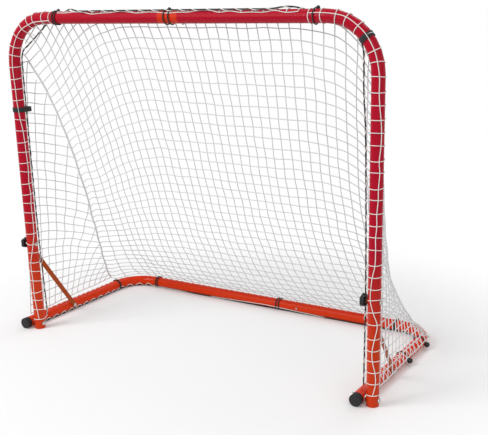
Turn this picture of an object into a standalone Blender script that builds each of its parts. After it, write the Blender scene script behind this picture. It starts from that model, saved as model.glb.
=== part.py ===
"""Folding street hockey goal: two steel tube frames, side braces, clamp knobs, net, edge cord and ball ties.

Metres, +Z up. X runs across the mouth, +Y runs back from the mouth, and the ground is z = 0.
Pieces are laid out from a point on the ground midway between the posts, in the plane of their centres.
The whole goal is then moved so that the middle of its footprint is at the origin.
"""

import math

import bmesh
import bpy
from mathutils import Matrix, Vector

INCH = 0.0254

# Overall sizes
WIDTH = 54 * INCH
HEIGHT = 44 * INCH
DEPTH = 24 * INCH

# Tube stock
TUBE_DIAMETER = 0.0381
TUBE_WALL = 0.0015
TOP_BEND = 0.150
REAR_BEND = 0.110
SWAGE_LENGTH = 0.120
SWAGE_TAPER = 0.003
TUBE_SIDES = 16
BEND_STEPS = 8

# Clearances
SLIP = 0.0003
RUNNING = 0.0005

# Places of the tube joints
POST_SEAM_HEIGHT = 0.797
SIDE_SEAM = 0.468
TOP_SEAM = 0.0
REAR_SEAM = 0.010

# Pivot, brace and clamp
BRACE_THICKNESS = 0.002
BRACE_WIDTH = 0.018
BRACE_FOOT = 0.205
CLAMP_HEIGHT = 0.320
BOLT_DIAMETER = 0.008
HEAD_DIAMETER = 0.015
HEAD_HEIGHT = 0.0042
HEAD_DOME = ((1.0, 0.0), (1.0, 0.45), (0.75, 0.8), (0.25, 1.0), (0.0, 1.0))
NUT_ACROSS = 0.013
NUT_HEIGHT = 0.0065
SPACER_DIAMETER = 0.020
FOLD_LIMIT = 80.0
BRACE_RATIO = 1.4
NOTCH_SHARE = 0.16

# Knobs
KNOB_DIAMETER = 0.040
KNOB_THICKNESS = 0.014
KNOB_LOBES = 5
KNOB_LOBE_DEPTH = 0.0035
KNOB_HUB_DIAMETER = 0.022
KNOB_HUB_HEIGHT = 0.004
KNOB_BORE_DEPTH = 0.012
KNOB_EDGE_SHARE = 0.2
KNOB_BACK_SHARE = 0.92
KNOB_FACE_SHARE = 0.86

# End caps and plugs
CAP_LENGTH = 0.020
CAP_RIM = 0.0004
CAP_START = 0.016
CAP_STUB = 0.010
CAP_CHAMFER = 0.002
PLUG_STUB = 0.018
PLUG_SOLE = 0.003
PLUG_FLOOR = 0.004
PLUG_WALL = 0.003
PLUG_CHAMFER = 0.0015

# Snap buttons
BUTTON_DIAMETER = 0.008
BUTTON_STANDOUT = 0.0035
BUTTON_FLANGE = 0.012
BUTTON_FLANGE_HEIGHT = 0.0015
BUTTON_TIP = ((0.002, 1.0), (0.0007, 0.8), (0.0, 0.35))
TOP_BUTTON_OFFSET = 0.042
REAR_BUTTON_OFFSET = 0.085
SPRING_WIDTH = 0.007
SPRING_GAUGE = 0.0006
SPRING_LEG = 0.045
SPRING_FOLD = 0.004
SPRING_UNDER_LEG = ((-0.005, 1.0), (0.003, 1.0))
SPRING_FAR_LEG = (0.010, -0.008)
SPRING_FLARE = (1.2, 1.4)

# The mouth's edge cord: how far inside the post's centre line it runs, at heights above the ground and
# at drops below the crossbar's centre line
CORD_LEFT_LOW = ((0.014, 0.045), (0.006, 0.350), (0.005, 0.700))
CORD_LEFT_HIGH = ((0.006, 0.170), (0.014, 0.112), (0.055, 0.080), (0.098, 0.048), (0.140, 0.018))
CORD_RIGHT_LOW = ((0.042, 0.045), (0.040, 0.350), (0.046, 0.750), (0.054, 0.900))
CORD_RIGHT_HIGH = ((0.060, 0.075), (0.105, 0.032), (0.145, 0.018))
CORD_STAND_OFF = 0.002

# Where the edge cord climbs over the crossbar: inset from the post's centre line, and the angle round the
# bar in degrees from straight behind it
CORD_BAR = ((0.185, 5), (0.230, 45), (0.270, 88), (0.320, 128), (0.400, 128), (0.500, 128))

BASE_CORD_LIFT = 0.0008
BASE_CORD_START = 0.03
BASE_CORD_STEP = 0.05

# Soft parts
EDGE_CORD_DIAMETER = 0.004
TIE_DIAMETER = 0.0035
TIE_BALL_DIAMETER = 0.018
TIE_KNOT_DIAMETER = 0.0076
TIE_PITCH = 0.006
MIDDLE_TIE_PITCH = 0.018
TIE_START = 60.0
TIE_SWEEP = 340.0
TIE_INNER_END = 36.0
BALL_HANG = 8.0
TOP_LEFT_TIE_INSET = 0.062
TOP_RIGHT_TIE_INSET = 0.035
REAR_LEFT_TIE_INSET = 0.023
REAR_RIGHT_TIE_INSET = 0.021
MIDDLE_TIE_STEP = 0.006
TIE_STEPS = 20
EDGE_CORD_STEPS = 3
SIDE_TIE_STEP = 0.008
RIGHT_TIE = 0.322
NET_STRAND = 0.003
NET_BACK_COLUMNS = 14
NET_BACK_ROWS = 8
NET_SIDE_COLUMNS = 4
NET_SIDE_ROWS = 8
NET_OFFSET = 0.0125
NET_LEFT_REACH = 0.0302
NET_RIGHT_REACH = 0.0305
NET_TOP_INSET = 0.004
NET_FOOT_REACH = 0.002
NET_HANG = 0.130
NET_SIDE_START = 0.20
NET_SIDE_TOP = 0.700
NET_SIDE_FOOT = 0.030
NET_SEAM_GAP = 0.0044
NET_SAG_HEIGHT = 0.300
NET_WAIST = 0.085
BAND_WIDTH = 0.016
BAND_THICKNESS = 0.0016

# Worked out from the values above
TUBE_RADIUS = TUBE_DIAMETER / 2
BORE_RADIUS = TUBE_RADIUS - TUBE_WALL
FLATS = math.cos(math.pi / TUBE_SIDES)
BORE_FIT = BORE_RADIUS * FLATS - SLIP
SWAGE_RADIUS = BORE_FIT
SWAGE_BORE = SWAGE_RADIUS - TUBE_WALL
SWAGE_FIT = SWAGE_BORE * FLATS - SLIP
POST_X = WIDTH / 2 - TUBE_RADIUS
BAR_HEIGHT = HEIGHT - TUBE_RADIUS
REAR_Y = DEPTH - TUBE_RADIUS
SIDE_GAP = BRACE_THICKNESS + 2 * RUNNING
SIDE_PITCH = TUBE_DIAMETER + SIDE_GAP
PIVOT_HEIGHT = TUBE_RADIUS
SIDES = {"left": -1, "right": 1}
HARDWARE_X = {name: sign * POST_X for name, sign in SIDES.items()}
BASE_X = {name: sign * POST_X - SIDE_PITCH for name, sign in SIDES.items()}
GAP_X = -TUBE_RADIUS - SIDE_GAP / 2
BRACE_RISE = CLAMP_HEIGHT - PIVOT_HEIGHT
BRACE_LENGTH = math.hypot(BRACE_FOOT, BRACE_RISE)
BRACE_ANGLE = math.atan2(BRACE_RISE, -BRACE_FOOT)
X_AXIS = Vector((1, 0, 0))
Y_AXIS = Vector((0, 1, 0))
Z_AXIS = Vector((0, 0, 1))


def clear_scene():
    """Removes whatever the file holds."""
    for thing in list(bpy.data.objects):
        bpy.data.objects.remove(thing)


def material(name, colour, roughness, metallic=0.0):
    """A plain Principled material."""
    made = bpy.data.materials.new(name)
    made.use_nodes = True
    shader = made.node_tree.nodes["Principled BSDF"]
    shader.inputs["Base Color"].default_value = (*colour, 1)
    shader.inputs["Roughness"].default_value = roughness
    shader.inputs["Metallic"].default_value = metallic
    return made


def empty(name, location, parent=None):
    """A carrier for the pieces of one moving group."""
    made = bpy.data.objects.new(name, None)
    made.location = location
    made.parent = parent
    bpy.context.collection.objects.link(made)
    bpy.context.view_layer.update()
    return made


def place(name, mesh, finish, parent, location=(0, 0, 0)):
    """An object at a world location, under its carrier."""
    made = bpy.data.objects.new(name, mesh)
    bpy.context.collection.objects.link(made)
    made.parent = parent
    made.location = Vector(location) - parent.matrix_world.translation
    if not mesh.materials:
        mesh.materials.append(finish)
    bpy.context.view_layer.update()
    return made


def mesh_from(name, bm, smooth=True):
    """Turns a bmesh into a mesh, shaded smooth with sharp edges kept."""
    bmesh.ops.recalc_face_normals(bm, faces=bm.faces)
    mesh = bpy.data.meshes.new(name)
    bm.to_mesh(mesh)
    bm.free()
    if smooth:
        mesh.shade_smooth()
        mesh.set_sharp_from_angle(angle=math.radians(40))
    return mesh


def mesh_of_object(made, name):
    """The evaluated mesh of a helper object, which is then removed."""
    bpy.context.view_layer.update()
    graph = bpy.context.evaluated_depsgraph_get()
    mesh = bpy.data.meshes.new_from_object(made.evaluated_get(graph), depsgraph=graph)
    mesh.name = name
    bpy.data.objects.remove(made)
    mesh.shade_smooth()
    mesh.set_sharp_from_angle(angle=math.radians(40))
    return mesh


def curve_object(points, radius, resolution, caps, scales=None):
    """A round tube along a list of points, as a bevelled curve."""
    curve = bpy.data.curves.new("route", "CURVE")
    curve.dimensions = "3D"
    curve.bevel_depth = radius
    curve.bevel_resolution = resolution
    curve.use_fill_caps = caps
    spline = curve.splines.new("POLY")
    spline.points.add(len(points) - 1)
    for index, point in enumerate(points):
        spline.points[index].co = (*point, 1)
        spline.points[index].radius = scales[index] if scales else 1.0
    made = bpy.data.objects.new("route", curve)
    bpy.context.collection.objects.link(made)
    return made


def arc(centre, first, second, radius, steps):
    """Points from centre + first to centre + second, which are square to each other."""
    points = []
    for step in range(steps + 1):
        angle = math.pi / 2 * step / steps
        points.append(centre + radius * (first * math.cos(angle) + second * math.sin(angle)))
    return points


def swage(points, radii):
    """Draws a route's last end down and runs it on, to slip inside the next tube."""
    end = points[-1]
    along = (end - points[-2]).normalized()
    points = points[:-1] + [
        end - along * (SLIP + SWAGE_TAPER),
        end - along * SLIP,
        end + along * SWAGE_LENGTH,
    ]
    return points, radii + [SWAGE_RADIUS, SWAGE_RADIUS]


def tube_mesh(name, points, swaged_start=False, swaged_end=False):
    """A hollow tube along a route. A swaged end runs on past the route's end, drawn down to slip inside."""
    points = [Vector(p) for p in points]
    radii = [TUBE_RADIUS] * len(points)
    if swaged_end:
        points, radii = swage(points, radii)
    if swaged_start:
        points, radii = swage(points[::-1], radii[::-1])
    made = curve_object(points, TUBE_RADIUS, TUBE_SIDES // 2 - 2, False, [r / TUBE_RADIUS for r in radii])
    mesh = mesh_of_object(made, name)
    shell = bpy.data.objects.new("shell", mesh)
    bpy.context.collection.objects.link(shell)
    wall = shell.modifiers.new("wall", "SOLIDIFY")
    wall.thickness = TUBE_WALL
    wall.offset = -1
    return mesh_of_object(shell, name)


def lathe_mesh(name, profile, steps):
    """A turned piece about its X axis. The profile is (x, radius) pairs from one end to the other."""
    bm = bmesh.new()
    verts = [bm.verts.new((x, 0, radius)) for x, radius in profile]
    edges = [bm.edges.new(pair) for pair in zip(verts, verts[1:])]
    bmesh.ops.spin(bm, geom=verts + edges, cent=(0, 0, 0), axis=(1, 0, 0), angle=2 * math.pi, steps=steps)
    bmesh.ops.remove_doubles(bm, verts=bm.verts, dist=0.00001)
    return mesh_from(name, bm)


def hex_mesh(name, across, height, bore):
    """A hexagon nut from x = 0 to x = height, with its bore."""
    bm = bmesh.new()
    outer = across / math.sqrt(3)
    rings = []
    for x in (0, height):
        for radius, sides in ((outer, 6), (bore, 12)):
            turn = [math.tau * step / sides for step in range(sides)]
            rings.append([bm.verts.new((x, radius * math.cos(a), radius * math.sin(a))) for a in turn])
    low_hex, low_bore, high_hex, high_bore = rings
    for low, high in ((low_hex, high_hex), (low_bore, high_bore)):
        for index in range(len(low)):
            after = (index + 1) % len(low)
            bm.faces.new((low[index], low[after], high[after], high[index]))
    for hexagon, hole in ((low_hex, low_bore), (high_hex, high_bore)):
        for index in range(6):
            after = (index + 1) % 6
            near, middle, far = (hole[(2 * index + step) % 12] for step in range(3))
            bm.faces.new((hexagon[index], near, middle))
            bm.faces.new((hexagon[index], middle, hexagon[after]))
            bm.faces.new((hexagon[after], middle, far))
    return mesh_from(name, bm, smooth=False)


def cutter(name, mesh, parent, location, rotation=(0, 0, 0)):
    """A guide solid that only cuts others."""
    made = bpy.data.objects.new(name, mesh)
    bpy.context.collection.objects.link(made)
    made.parent = parent
    made.location = Vector(location) - parent.matrix_world.translation
    made.rotation_euler = rotation
    made.hide_render = True
    made.display_type = "WIRE"
    return made


def cut(target, tool, operation="DIFFERENCE"):
    """Cuts a piece by a guide solid."""
    change = target.modifiers.new(tool.name, "BOOLEAN")
    change.object = tool
    change.operation = operation
    change.solver = "EXACT"


def cylinder_cutter(name, parent, location, direction, radius, length, sides=16):
    """A round cutter centred on a point and lying along a direction."""
    bm = bmesh.new()
    bmesh.ops.create_cone(
        bm, cap_ends=True, segments=sides, radius1=radius, radius2=radius, depth=length
    )
    mesh = mesh_from(name, bm, smooth=False)
    turn = Z_AXIS.rotation_difference(Vector(direction)).to_euler()
    return cutter(name, mesh, parent, location, turn)


def front_route(side):
    """The upper corner from the post seam, round the bend and to the seam of the crossbar."""
    sign = SIDES[side]
    outward = sign * X_AXIS
    centre = Vector((sign * (POST_X - TOP_BEND), 0, BAR_HEIGHT - TOP_BEND))
    points = [Vector((sign * POST_X, 0, POST_SEAM_HEIGHT))]
    points += arc(centre, outward, Z_AXIS, TOP_BEND, BEND_STEPS)
    points.append(Vector((TOP_SEAM, 0, BAR_HEIGHT)))
    return points


def rear_route(side):
    """The rear corner from the side seam, round the bend and to the seam of the rear bar."""
    sign = SIDES[side]
    outward = sign * X_AXIS
    centre = Vector((BASE_X[side] - sign * REAR_BEND, REAR_Y - REAR_BEND, TUBE_RADIUS))
    points = [Vector((BASE_X[side], SIDE_SEAM, TUBE_RADIUS))]
    points += arc(centre, outward, Y_AXIS, REAR_BEND, BEND_STEPS)
    points.append(Vector((REAR_SEAM, REAR_Y, TUBE_RADIUS)))
    return points


def make_front_tubes(carrier, finish):
    """Two straight posts and two bent top corners that meet in the middle of the crossbar."""
    tubes = {}
    for side, sign in SIDES.items():
        foot = Vector((sign * POST_X, 0, 0))
        seam = Vector((sign * POST_X, 0, POST_SEAM_HEIGHT))
        mesh = tube_mesh("post", [foot, seam], swaged_end=True)
        tubes["post_" + side] = place("post_" + side, mesh, finish, carrier)
        mesh = tube_mesh("top_corner", front_route(side), swaged_end=side == "left")
        tubes["top_corner_" + side] = place("top_corner_" + side, mesh, finish, carrier)
    return tubes


def make_base_tubes(carrier, finish):
    """Two straight side tubes and two bent rear corners that meet in the middle of the rear bar."""
    tubes = {}
    for side in SIDES:
        start = Vector((BASE_X[side], -CAP_START, TUBE_RADIUS))
        seam = Vector((BASE_X[side], SIDE_SEAM, TUBE_RADIUS))
        mesh = tube_mesh("base_side", [start, seam])
        tubes["base_side_" + side] = place("base_side_" + side, mesh, finish, carrier)
        mesh = tube_mesh("rear_corner", rear_route(side), swaged_start=True, swaged_end=side == "left")
        tubes["rear_corner_" + side] = place("rear_corner_" + side, mesh, finish, carrier)
    return tubes


def drill(tubes, base, front):
    """Bolt holes through the posts and side tubes, and the holes of the snap buttons."""
    bolt_hole = BOLT_DIAMETER / 2 + SLIP
    button_hole = BUTTON_DIAMETER / 2 + SLIP
    for side in SIDES:
        post_x = HARDWARE_X[side]
        drills = (
            ("pivot_drill_post_", "post_", front, (post_x, 0, PIVOT_HEIGHT)),
            ("clamp_drill_post_", "post_", front, (post_x, 0, CLAMP_HEIGHT)),
            ("pivot_drill_base_", "base_side_", base, (BASE_X[side], 0, PIVOT_HEIGHT)),
            ("brace_drill_base_", "base_side_", base, (BASE_X[side], BRACE_FOOT, PIVOT_HEIGHT)),
        )
        for name, tube, carrier, point in drills:
            radius = bolt_hole
            length = TUBE_DIAMETER + SIDE_GAP
            cut(tubes[tube + side], cylinder_cutter(name + side, carrier, point, X_AXIS, radius, length))
    for side in SIDES:
        top = (TOP_SEAM + TOP_BUTTON_OFFSET, 0, BAR_HEIGHT - TUBE_RADIUS)
        tool = cylinder_cutter("top_button_drill_" + side, front, top, Z_AXIS, button_hole, TUBE_RADIUS)
        cut(tubes["top_corner_" + side], tool)
        rear = (REAR_SEAM + REAR_BUTTON_OFFSET, REAR_Y - TUBE_RADIUS, TUBE_RADIUS)
        tool = cylinder_cutter("rear_button_drill_" + side, base, rear, Y_AXIS, button_hole, TUBE_RADIUS)
        cut(tubes["rear_corner_" + side], tool)


def bolt_mesh(name, grip):
    """A domed bolt: the head from x = 0 to +HEAD_HEIGHT and the shank down to x = -grip."""
    head = HEAD_DIAMETER / 2
    shank = BOLT_DIAMETER / 2
    profile = [(HEAD_HEIGHT * rise, head * width) for rise, width in HEAD_DOME]
    profile += [(0, shank), (-grip, shank), (-grip, 0)]
    return lathe_mesh(name, profile, 16)


def make_pivots(carrier, steel):
    """The bolt, spacer and nut that hinge each post on its side tube."""
    seat = TUBE_RADIUS + SLIP
    nut_face = -TUBE_RADIUS - SIDE_PITCH - SLIP
    grip = seat - nut_face + NUT_HEIGHT + SLIP
    bolt = bolt_mesh("pivot_bolt", grip)
    nut = hex_mesh("pivot_nut", NUT_ACROSS, NUT_HEIGHT, BOLT_DIAMETER / 2 + SLIP)
    half = SIDE_GAP / 2 - SLIP
    bore = BOLT_DIAMETER / 2 + SLIP
    rim = SPACER_DIAMETER / 2
    loop = [(half, bore), (half, rim), (-half, rim), (-half, bore), (half, bore)]
    spacer = lathe_mesh("pivot_spacer", loop, 20)
    for side in SIDES:
        x = HARDWARE_X[side]
        place("pivot_bolt_" + side, bolt, steel, carrier, (x + seat, 0, PIVOT_HEIGHT))
        place("pivot_spacer_" + side, spacer, steel, carrier, (x + GAP_X, 0, PIVOT_HEIGHT))
        place("pivot_nut_" + side, nut, steel, carrier, (x + nut_face - NUT_HEIGHT, 0, PIVOT_HEIGHT))


def brace_mesh():
    """A flat strip with round ends, an eye at its foot and a hook notch at its top, modelled upright."""
    half = BRACE_THICKNESS / 2
    round_end = BRACE_WIDTH / 2
    steps = 12
    outline = []
    for end, start in ((BRACE_LENGTH, 0.0), (0.0, math.pi)):
        for step in range(steps + 1):
            angle = start + math.pi * step / steps
            outline.append((round_end * math.cos(angle), end + round_end * math.sin(angle)))
    bm = bmesh.new()
    face = bm.faces.new([bm.verts.new((-half, y, z)) for y, z in outline])
    grown = bmesh.ops.extrude_face_region(bm, geom=[face])
    moved = [item for item in grown["geom"] if isinstance(item, bmesh.types.BMVert)]
    bmesh.ops.translate(bm, verts=moved, vec=(BRACE_THICKNESS, 0, 0))
    return mesh_from("brace", bm, smooth=False)


def notch_mesh():
    """The way that the clamp stud takes through the brace as the goal folds, in the brace's upright frame."""
    radius = BOLT_DIAMETER / 2 + RUNNING
    sides = 12
    bm = bmesh.new()
    corners = []
    turns = 6
    for step in range(turns + 1):
        fold = math.radians(FOLD_LIMIT) * NOTCH_SHARE * step / turns
        stud = Vector((BRACE_RISE * math.sin(fold), BRACE_RISE * math.cos(fold)))
        arm = BRACE_ANGLE - BRACE_RATIO * fold
        along = Vector((math.cos(arm), math.sin(arm)))
        across = Vector((along.y, -along.x))
        offset = stud - Vector((BRACE_FOOT, 0))
        centre = Vector((offset.dot(across), offset.dot(along)))
        for side in range(sides):
            angle = math.tau * side / sides
            corners.append(centre + radius * Vector((math.cos(angle), math.sin(angle))))
    for x in (-BRACE_THICKNESS, BRACE_THICKNESS):
        for corner in corners:
            bm.verts.new((x, corner.x, corner.y))
    bmesh.ops.convex_hull(bm, input=bm.verts)
    loose = [v for v in bm.verts if not v.link_faces]
    bmesh.ops.delete(bm, geom=loose, context="VERTS")
    return mesh_from("notch", bm, smooth=False)


def make_braces(carrier, finish, steel):
    """The two side braces, which hook over the clamp studs, with the bolts and nuts they turn on."""
    strip = brace_mesh()
    seat = BRACE_THICKNESS / 2 + SLIP
    nut_face = -SIDE_GAP / 2 - TUBE_DIAMETER - SLIP
    bolt = bolt_mesh("brace_bolt", seat - nut_face + NUT_HEIGHT + SLIP)
    nut = hex_mesh("brace_nut", NUT_ACROSS, NUT_HEIGHT, BOLT_DIAMETER / 2 + SLIP)
    tilt = BRACE_ANGLE - math.pi / 2
    for side in SIDES:
        foot = Vector((HARDWARE_X[side] + GAP_X, BRACE_FOOT, PIVOT_HEIGHT))
        brace = place("brace_" + side, strip, finish, carrier, foot)
        brace.rotation_euler = (tilt, 0, 0)
        bpy.context.view_layer.update()
        eye = cylinder_cutter(
            "brace_eye_" + side, carrier, foot, X_AXIS, BOLT_DIAMETER / 2 + SLIP, 4 * BRACE_THICKNESS
        )
        cut(brace, eye)
        cut(brace, cutter("brace_notch_" + side, notch_mesh(), carrier, foot, (tilt, 0, 0)))
        place("brace_bolt_" + side, bolt, steel, carrier, foot + seat * X_AXIS)
        place("brace_nut_" + side, nut, steel, carrier, foot + (nut_face - NUT_HEIGHT) * X_AXIS)


def knob_mesh():
    """A lobed knob about X. Its hub faces +X at x = 0 and its bore is blind."""
    bm = bmesh.new()
    sides = 30
    bore = BOLT_DIAMETER / 2 + SLIP
    hub = KNOB_HUB_DIAMETER / 2
    body = KNOB_DIAMETER / 2
    back = -KNOB_HUB_HEIGHT
    front = back - KNOB_THICKNESS
    edge = KNOB_THICKNESS * KNOB_EDGE_SHARE
    rings = (
        (-KNOB_BORE_DEPTH, bore, 0),
        (0, bore, 0),
        (0, hub, 0),
        (back, hub, 0),
        (back, body * KNOB_BACK_SHARE, 1),
        (back - edge, body, 1),
        (front + edge, body, 1),
        (front, body * KNOB_FACE_SHARE, 1),
    )
    loops = []
    for x, radius, lobed in rings:
        loop = []
        for side in range(sides):
            angle = math.tau * side / sides
            reach = radius - lobed * KNOB_LOBE_DEPTH * (1 - math.cos(KNOB_LOBES * angle)) / 2
            loop.append(bm.verts.new((x, reach * math.cos(angle), reach * math.sin(angle))))
        loops.append(loop)
    for low, high in zip(loops, loops[1:]):
        for index in range(sides):
            after = (index + 1) % sides
            bm.faces.new((low[index], low[after], high[after], high[index]))
    bm.faces.new(loops[0])
    bm.faces.new(loops[-1])
    return mesh_from("clamp_knob", bm)


def make_clamps(carrier, knob_carriers, steel, plastic):
    """The studs through the posts and the knobs that clamp the braces on them."""
    seat = TUBE_RADIUS + SLIP
    hub_face = GAP_X - BRACE_THICKNESS / 2 - SLIP
    reach = seat - hub_face + KNOB_BORE_DEPTH - RUNNING
    stud = bolt_mesh("clamp_stud", reach)
    knob = knob_mesh()
    for side in SIDES:
        x = HARDWARE_X[side]
        place("clamp_stud_" + side, stud, steel, carrier, (x + seat, 0, CLAMP_HEIGHT))
        place("clamp_knob_" + side, knob, plastic, knob_carriers[side], (x + hub_face, 0, CLAMP_HEIGHT))


def cap_profile(stub):
    """The end of a solid cap: a head as wide as the tube and a ribbed stub inside it."""
    fit = BORE_FIT
    rim = TUBE_RADIUS + CAP_RIM
    chamfer = CAP_CHAMFER
    return [
        (0, 0),
        (0, rim - chamfer),
        (chamfer, rim),
        (CAP_LENGTH, rim),
        (CAP_LENGTH, fit),
        (CAP_LENGTH + stub - chamfer, fit),
        (CAP_LENGTH + stub, fit - chamfer),
        (CAP_LENGTH + stub, 0),
    ]


def make_end_caps(carrier, rubber):
    """Black end caps on the front ends of the side tubes, with a flat sole on the ground."""
    mesh = lathe_mesh("base_cap", cap_profile(CAP_STUB), 20)
    bm = bmesh.new()
    bm.from_mesh(mesh)
    bmesh.ops.rotate(bm, verts=bm.verts, cent=(0, 0, 0), matrix=Matrix.Rotation(math.pi / 2, 3, "Z"))
    geometry = bm.verts[:] + bm.edges[:] + bm.faces[:]
    sliced = bmesh.ops.bisect_plane(
        bm, geom=geometry, plane_co=(0, 0, -TUBE_RADIUS), plane_no=(0, 0, -1), clear_outer=True
    )
    rim = [item for item in sliced["geom_cut"] if isinstance(item, bmesh.types.BMEdge)]
    bmesh.ops.edgeloop_fill(bm, edges=rim)
    cap = mesh_from("base_cap", bm)
    for side in SIDES:
        y = -CAP_START - SLIP - CAP_LENGTH
        place("base_cap_" + side, cap, rubber, carrier, (BASE_X[side], y, TUBE_RADIUS))


def make_post_plugs(carrier, rubber):
    """Plugs pressed into the feet of the posts. Their flat soles are level with the tube's end."""
    fit = BORE_FIT
    chamfer = PLUG_CHAMFER
    profile = [(0, 0), (0, fit), (PLUG_SOLE, fit), (PLUG_STUB - chamfer, fit), (PLUG_STUB, fit - chamfer)]
    hollow = fit - PLUG_WALL
    profile += [(PLUG_STUB, hollow), (PLUG_FLOOR, hollow), (PLUG_FLOOR, 0)]
    mesh = lathe_mesh("post_plug", profile, 20)
    mesh.transform(Matrix.Rotation(-math.pi / 2, 4, "Y"))
    bore = BOLT_DIAMETER / 2 + RUNNING
    for side in SIDES:
        x = HARDWARE_X[side]
        plug = place("post_plug_" + side, mesh, rubber, carrier, (x, 0, 0))
        point = (x, 0, PIVOT_HEIGHT)
        cut(plug, cylinder_cutter("plug_drill_" + side, carrier, point, X_AXIS, bore, TUBE_DIAMETER))


def button_mesh():
    """A snap button along X: its flange inside the tube near x = 0 and its dome at +X."""
    shoulder = math.sqrt(SWAGE_FIT**2 - (BUTTON_FLANGE / 2) ** 2)
    radius = BUTTON_DIAMETER / 2
    tip = TUBE_RADIUS + BUTTON_STANDOUT
    profile = [
        (shoulder - BUTTON_FLANGE_HEIGHT, 0),
        (shoulder - BUTTON_FLANGE_HEIGHT, BUTTON_FLANGE / 2),
        (shoulder, BUTTON_FLANGE / 2),
        (shoulder, radius),
    ]
    profile += [(tip - below, radius * width) for below, width in BUTTON_TIP]
    profile.append((tip, 0))
    return lathe_mesh("snap_button", profile, 16)


def spring_mesh():
    """A folded leaf: one leg under the button at +X, the other on the far wall. Its legs run along +Y."""
    shoulder = math.sqrt(SWAGE_FIT**2 - (BUTTON_FLANGE / 2) ** 2)
    under = shoulder - BUTTON_FLANGE_HEIGHT - SLIP - SPRING_GAUGE / 2
    corner = SPRING_WIDTH / 2
    wall = math.sqrt(SWAGE_FIT**2 - corner**2) - SPRING_GAUGE / 2
    bend = SPRING_FOLD
    near, far = SPRING_FLARE
    points = [(under * share, along) for along, share in SPRING_UNDER_LEG]
    points += [(bend * near, SPRING_LEG - bend), (0, SPRING_LEG), (-bend * far, SPRING_LEG - bend)]
    points += [(-wall, along) for along in SPRING_FAR_LEG]
    bm = bmesh.new()
    low = [bm.verts.new((x, y, -corner)) for x, y in points]
    high = [bm.verts.new((x, y, corner)) for x, y in points]
    for index in range(len(points) - 1):
        bm.faces.new((low[index], low[index + 1], high[index + 1], high[index]))
    mesh = mesh_from("leaf", bm, smooth=False)
    leaf = bpy.data.objects.new("leaf", mesh)
    bpy.context.collection.objects.link(leaf)
    gauge = leaf.modifiers.new("gauge", "SOLIDIFY")
    gauge.thickness = SPRING_GAUGE
    gauge.offset = 0
    return mesh_of_object(leaf, "snap_spring")


def make_snaps(front, base, steel):
    """The snap buttons that lock the crossbar and the rear bar together, on their folded leaves."""
    button = button_mesh()
    leaf = spring_mesh()
    quarter = math.pi / 2
    places = (
        (
            "top",
            front,
            (TOP_SEAM + TOP_BUTTON_OFFSET, 0, BAR_HEIGHT),
            (0, quarter, 0),
            (quarter, quarter, 0),
        ),
        (
            "rear",
            base,
            (REAR_SEAM + REAR_BUTTON_OFFSET, REAR_Y, TUBE_RADIUS),
            (0, 0, -quarter),
            (math.pi, 0, -quarter),
        ),
    )
    for name, carrier, point, turn, lie in places:
        made = place("snap_button_" + name, button, steel, carrier, point)
        made.rotation_euler = turn
        rest = place("snap_spring_" + name, leaf, steel, carrier, point)
        rest.rotation_euler = lie
    bpy.context.view_layer.update()


def tie_route(turns, reach, start, sweep, pitch):
    """Points of a tie round a tube along X: it goes over the tube and back once for each turn."""
    steps = math.ceil(TIE_STEPS * sweep / math.tau)
    points = []
    for turn in range(turns):
        x = (turn - (turns - 1) / 2) * pitch
        row = []
        for step in range(steps + 1):
            angle = start + sweep * step / steps
            row.append(Vector((x, reach * math.cos(angle), reach * math.sin(angle))))
        if turn % 2:
            row.reverse()
        points += row
    return points


def least_gap(points, radius):
    """The least clear distance between stretches of a cord that aren't neighbours."""
    least = math.inf
    for first in range(len(points)):
        for second in range(first + 1, len(points)):
            apart = (points[first] - points[second]).length
            run = sum((points[k + 1] - points[k]).length for k in range(first, second))
            if run > 3 * radius + apart:
                least = min(least, apart - 2 * radius)
    return least


def tie_mesh(name, turns, start, sweep, ball, pitch=TIE_PITCH):
    """A bungee tie as one tube, with its ball or knot joined on at its first end."""
    radius = TIE_DIAMETER / 2
    reach = (TUBE_RADIUS + SLIP + radius) / math.cos(math.pi / TIE_STEPS)
    points = tie_route(turns, reach, start, sweep, pitch)
    if turns > 1:
        print(name, "least gap in mm", round(1000 * least_gap(points, radius), 2))
    mesh = mesh_of_object(curve_object(points, radius, 1, True), name)
    if not ball:
        return mesh
    body = bpy.data.objects.new("tie", mesh)
    bpy.context.collection.objects.link(body)
    bm = bmesh.new()
    bmesh.ops.create_uvsphere(bm, u_segments=12, v_segments=8, radius=ball / 2)
    outward = points[0].copy()
    outward.x = 0
    outward.normalize()
    centre = outward * (TUBE_RADIUS + 2 * SLIP + ball / 2)
    centre.x = points[0].x
    bmesh.ops.translate(bm, verts=bm.verts, vec=centre)
    knot = bpy.data.objects.new("knot", mesh_from("knot", bm))
    bpy.context.collection.objects.link(knot)
    join = body.modifiers.new("join", "BOOLEAN")
    join.object = knot
    join.operation = "UNION"
    join.solver = "EXACT"
    made = mesh_of_object(body, name)
    bpy.data.objects.remove(knot)
    return made


def place_tie(name, mesh, finish, carrier, point, along):
    """Sets a tie round a tube that runs along a direction."""
    made = place(name, mesh, finish, carrier, point)
    made.rotation_euler = (0, 0, 0) if along == "x" else (0, 0, math.pi / 2)
    bpy.context.view_layer.update()


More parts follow.
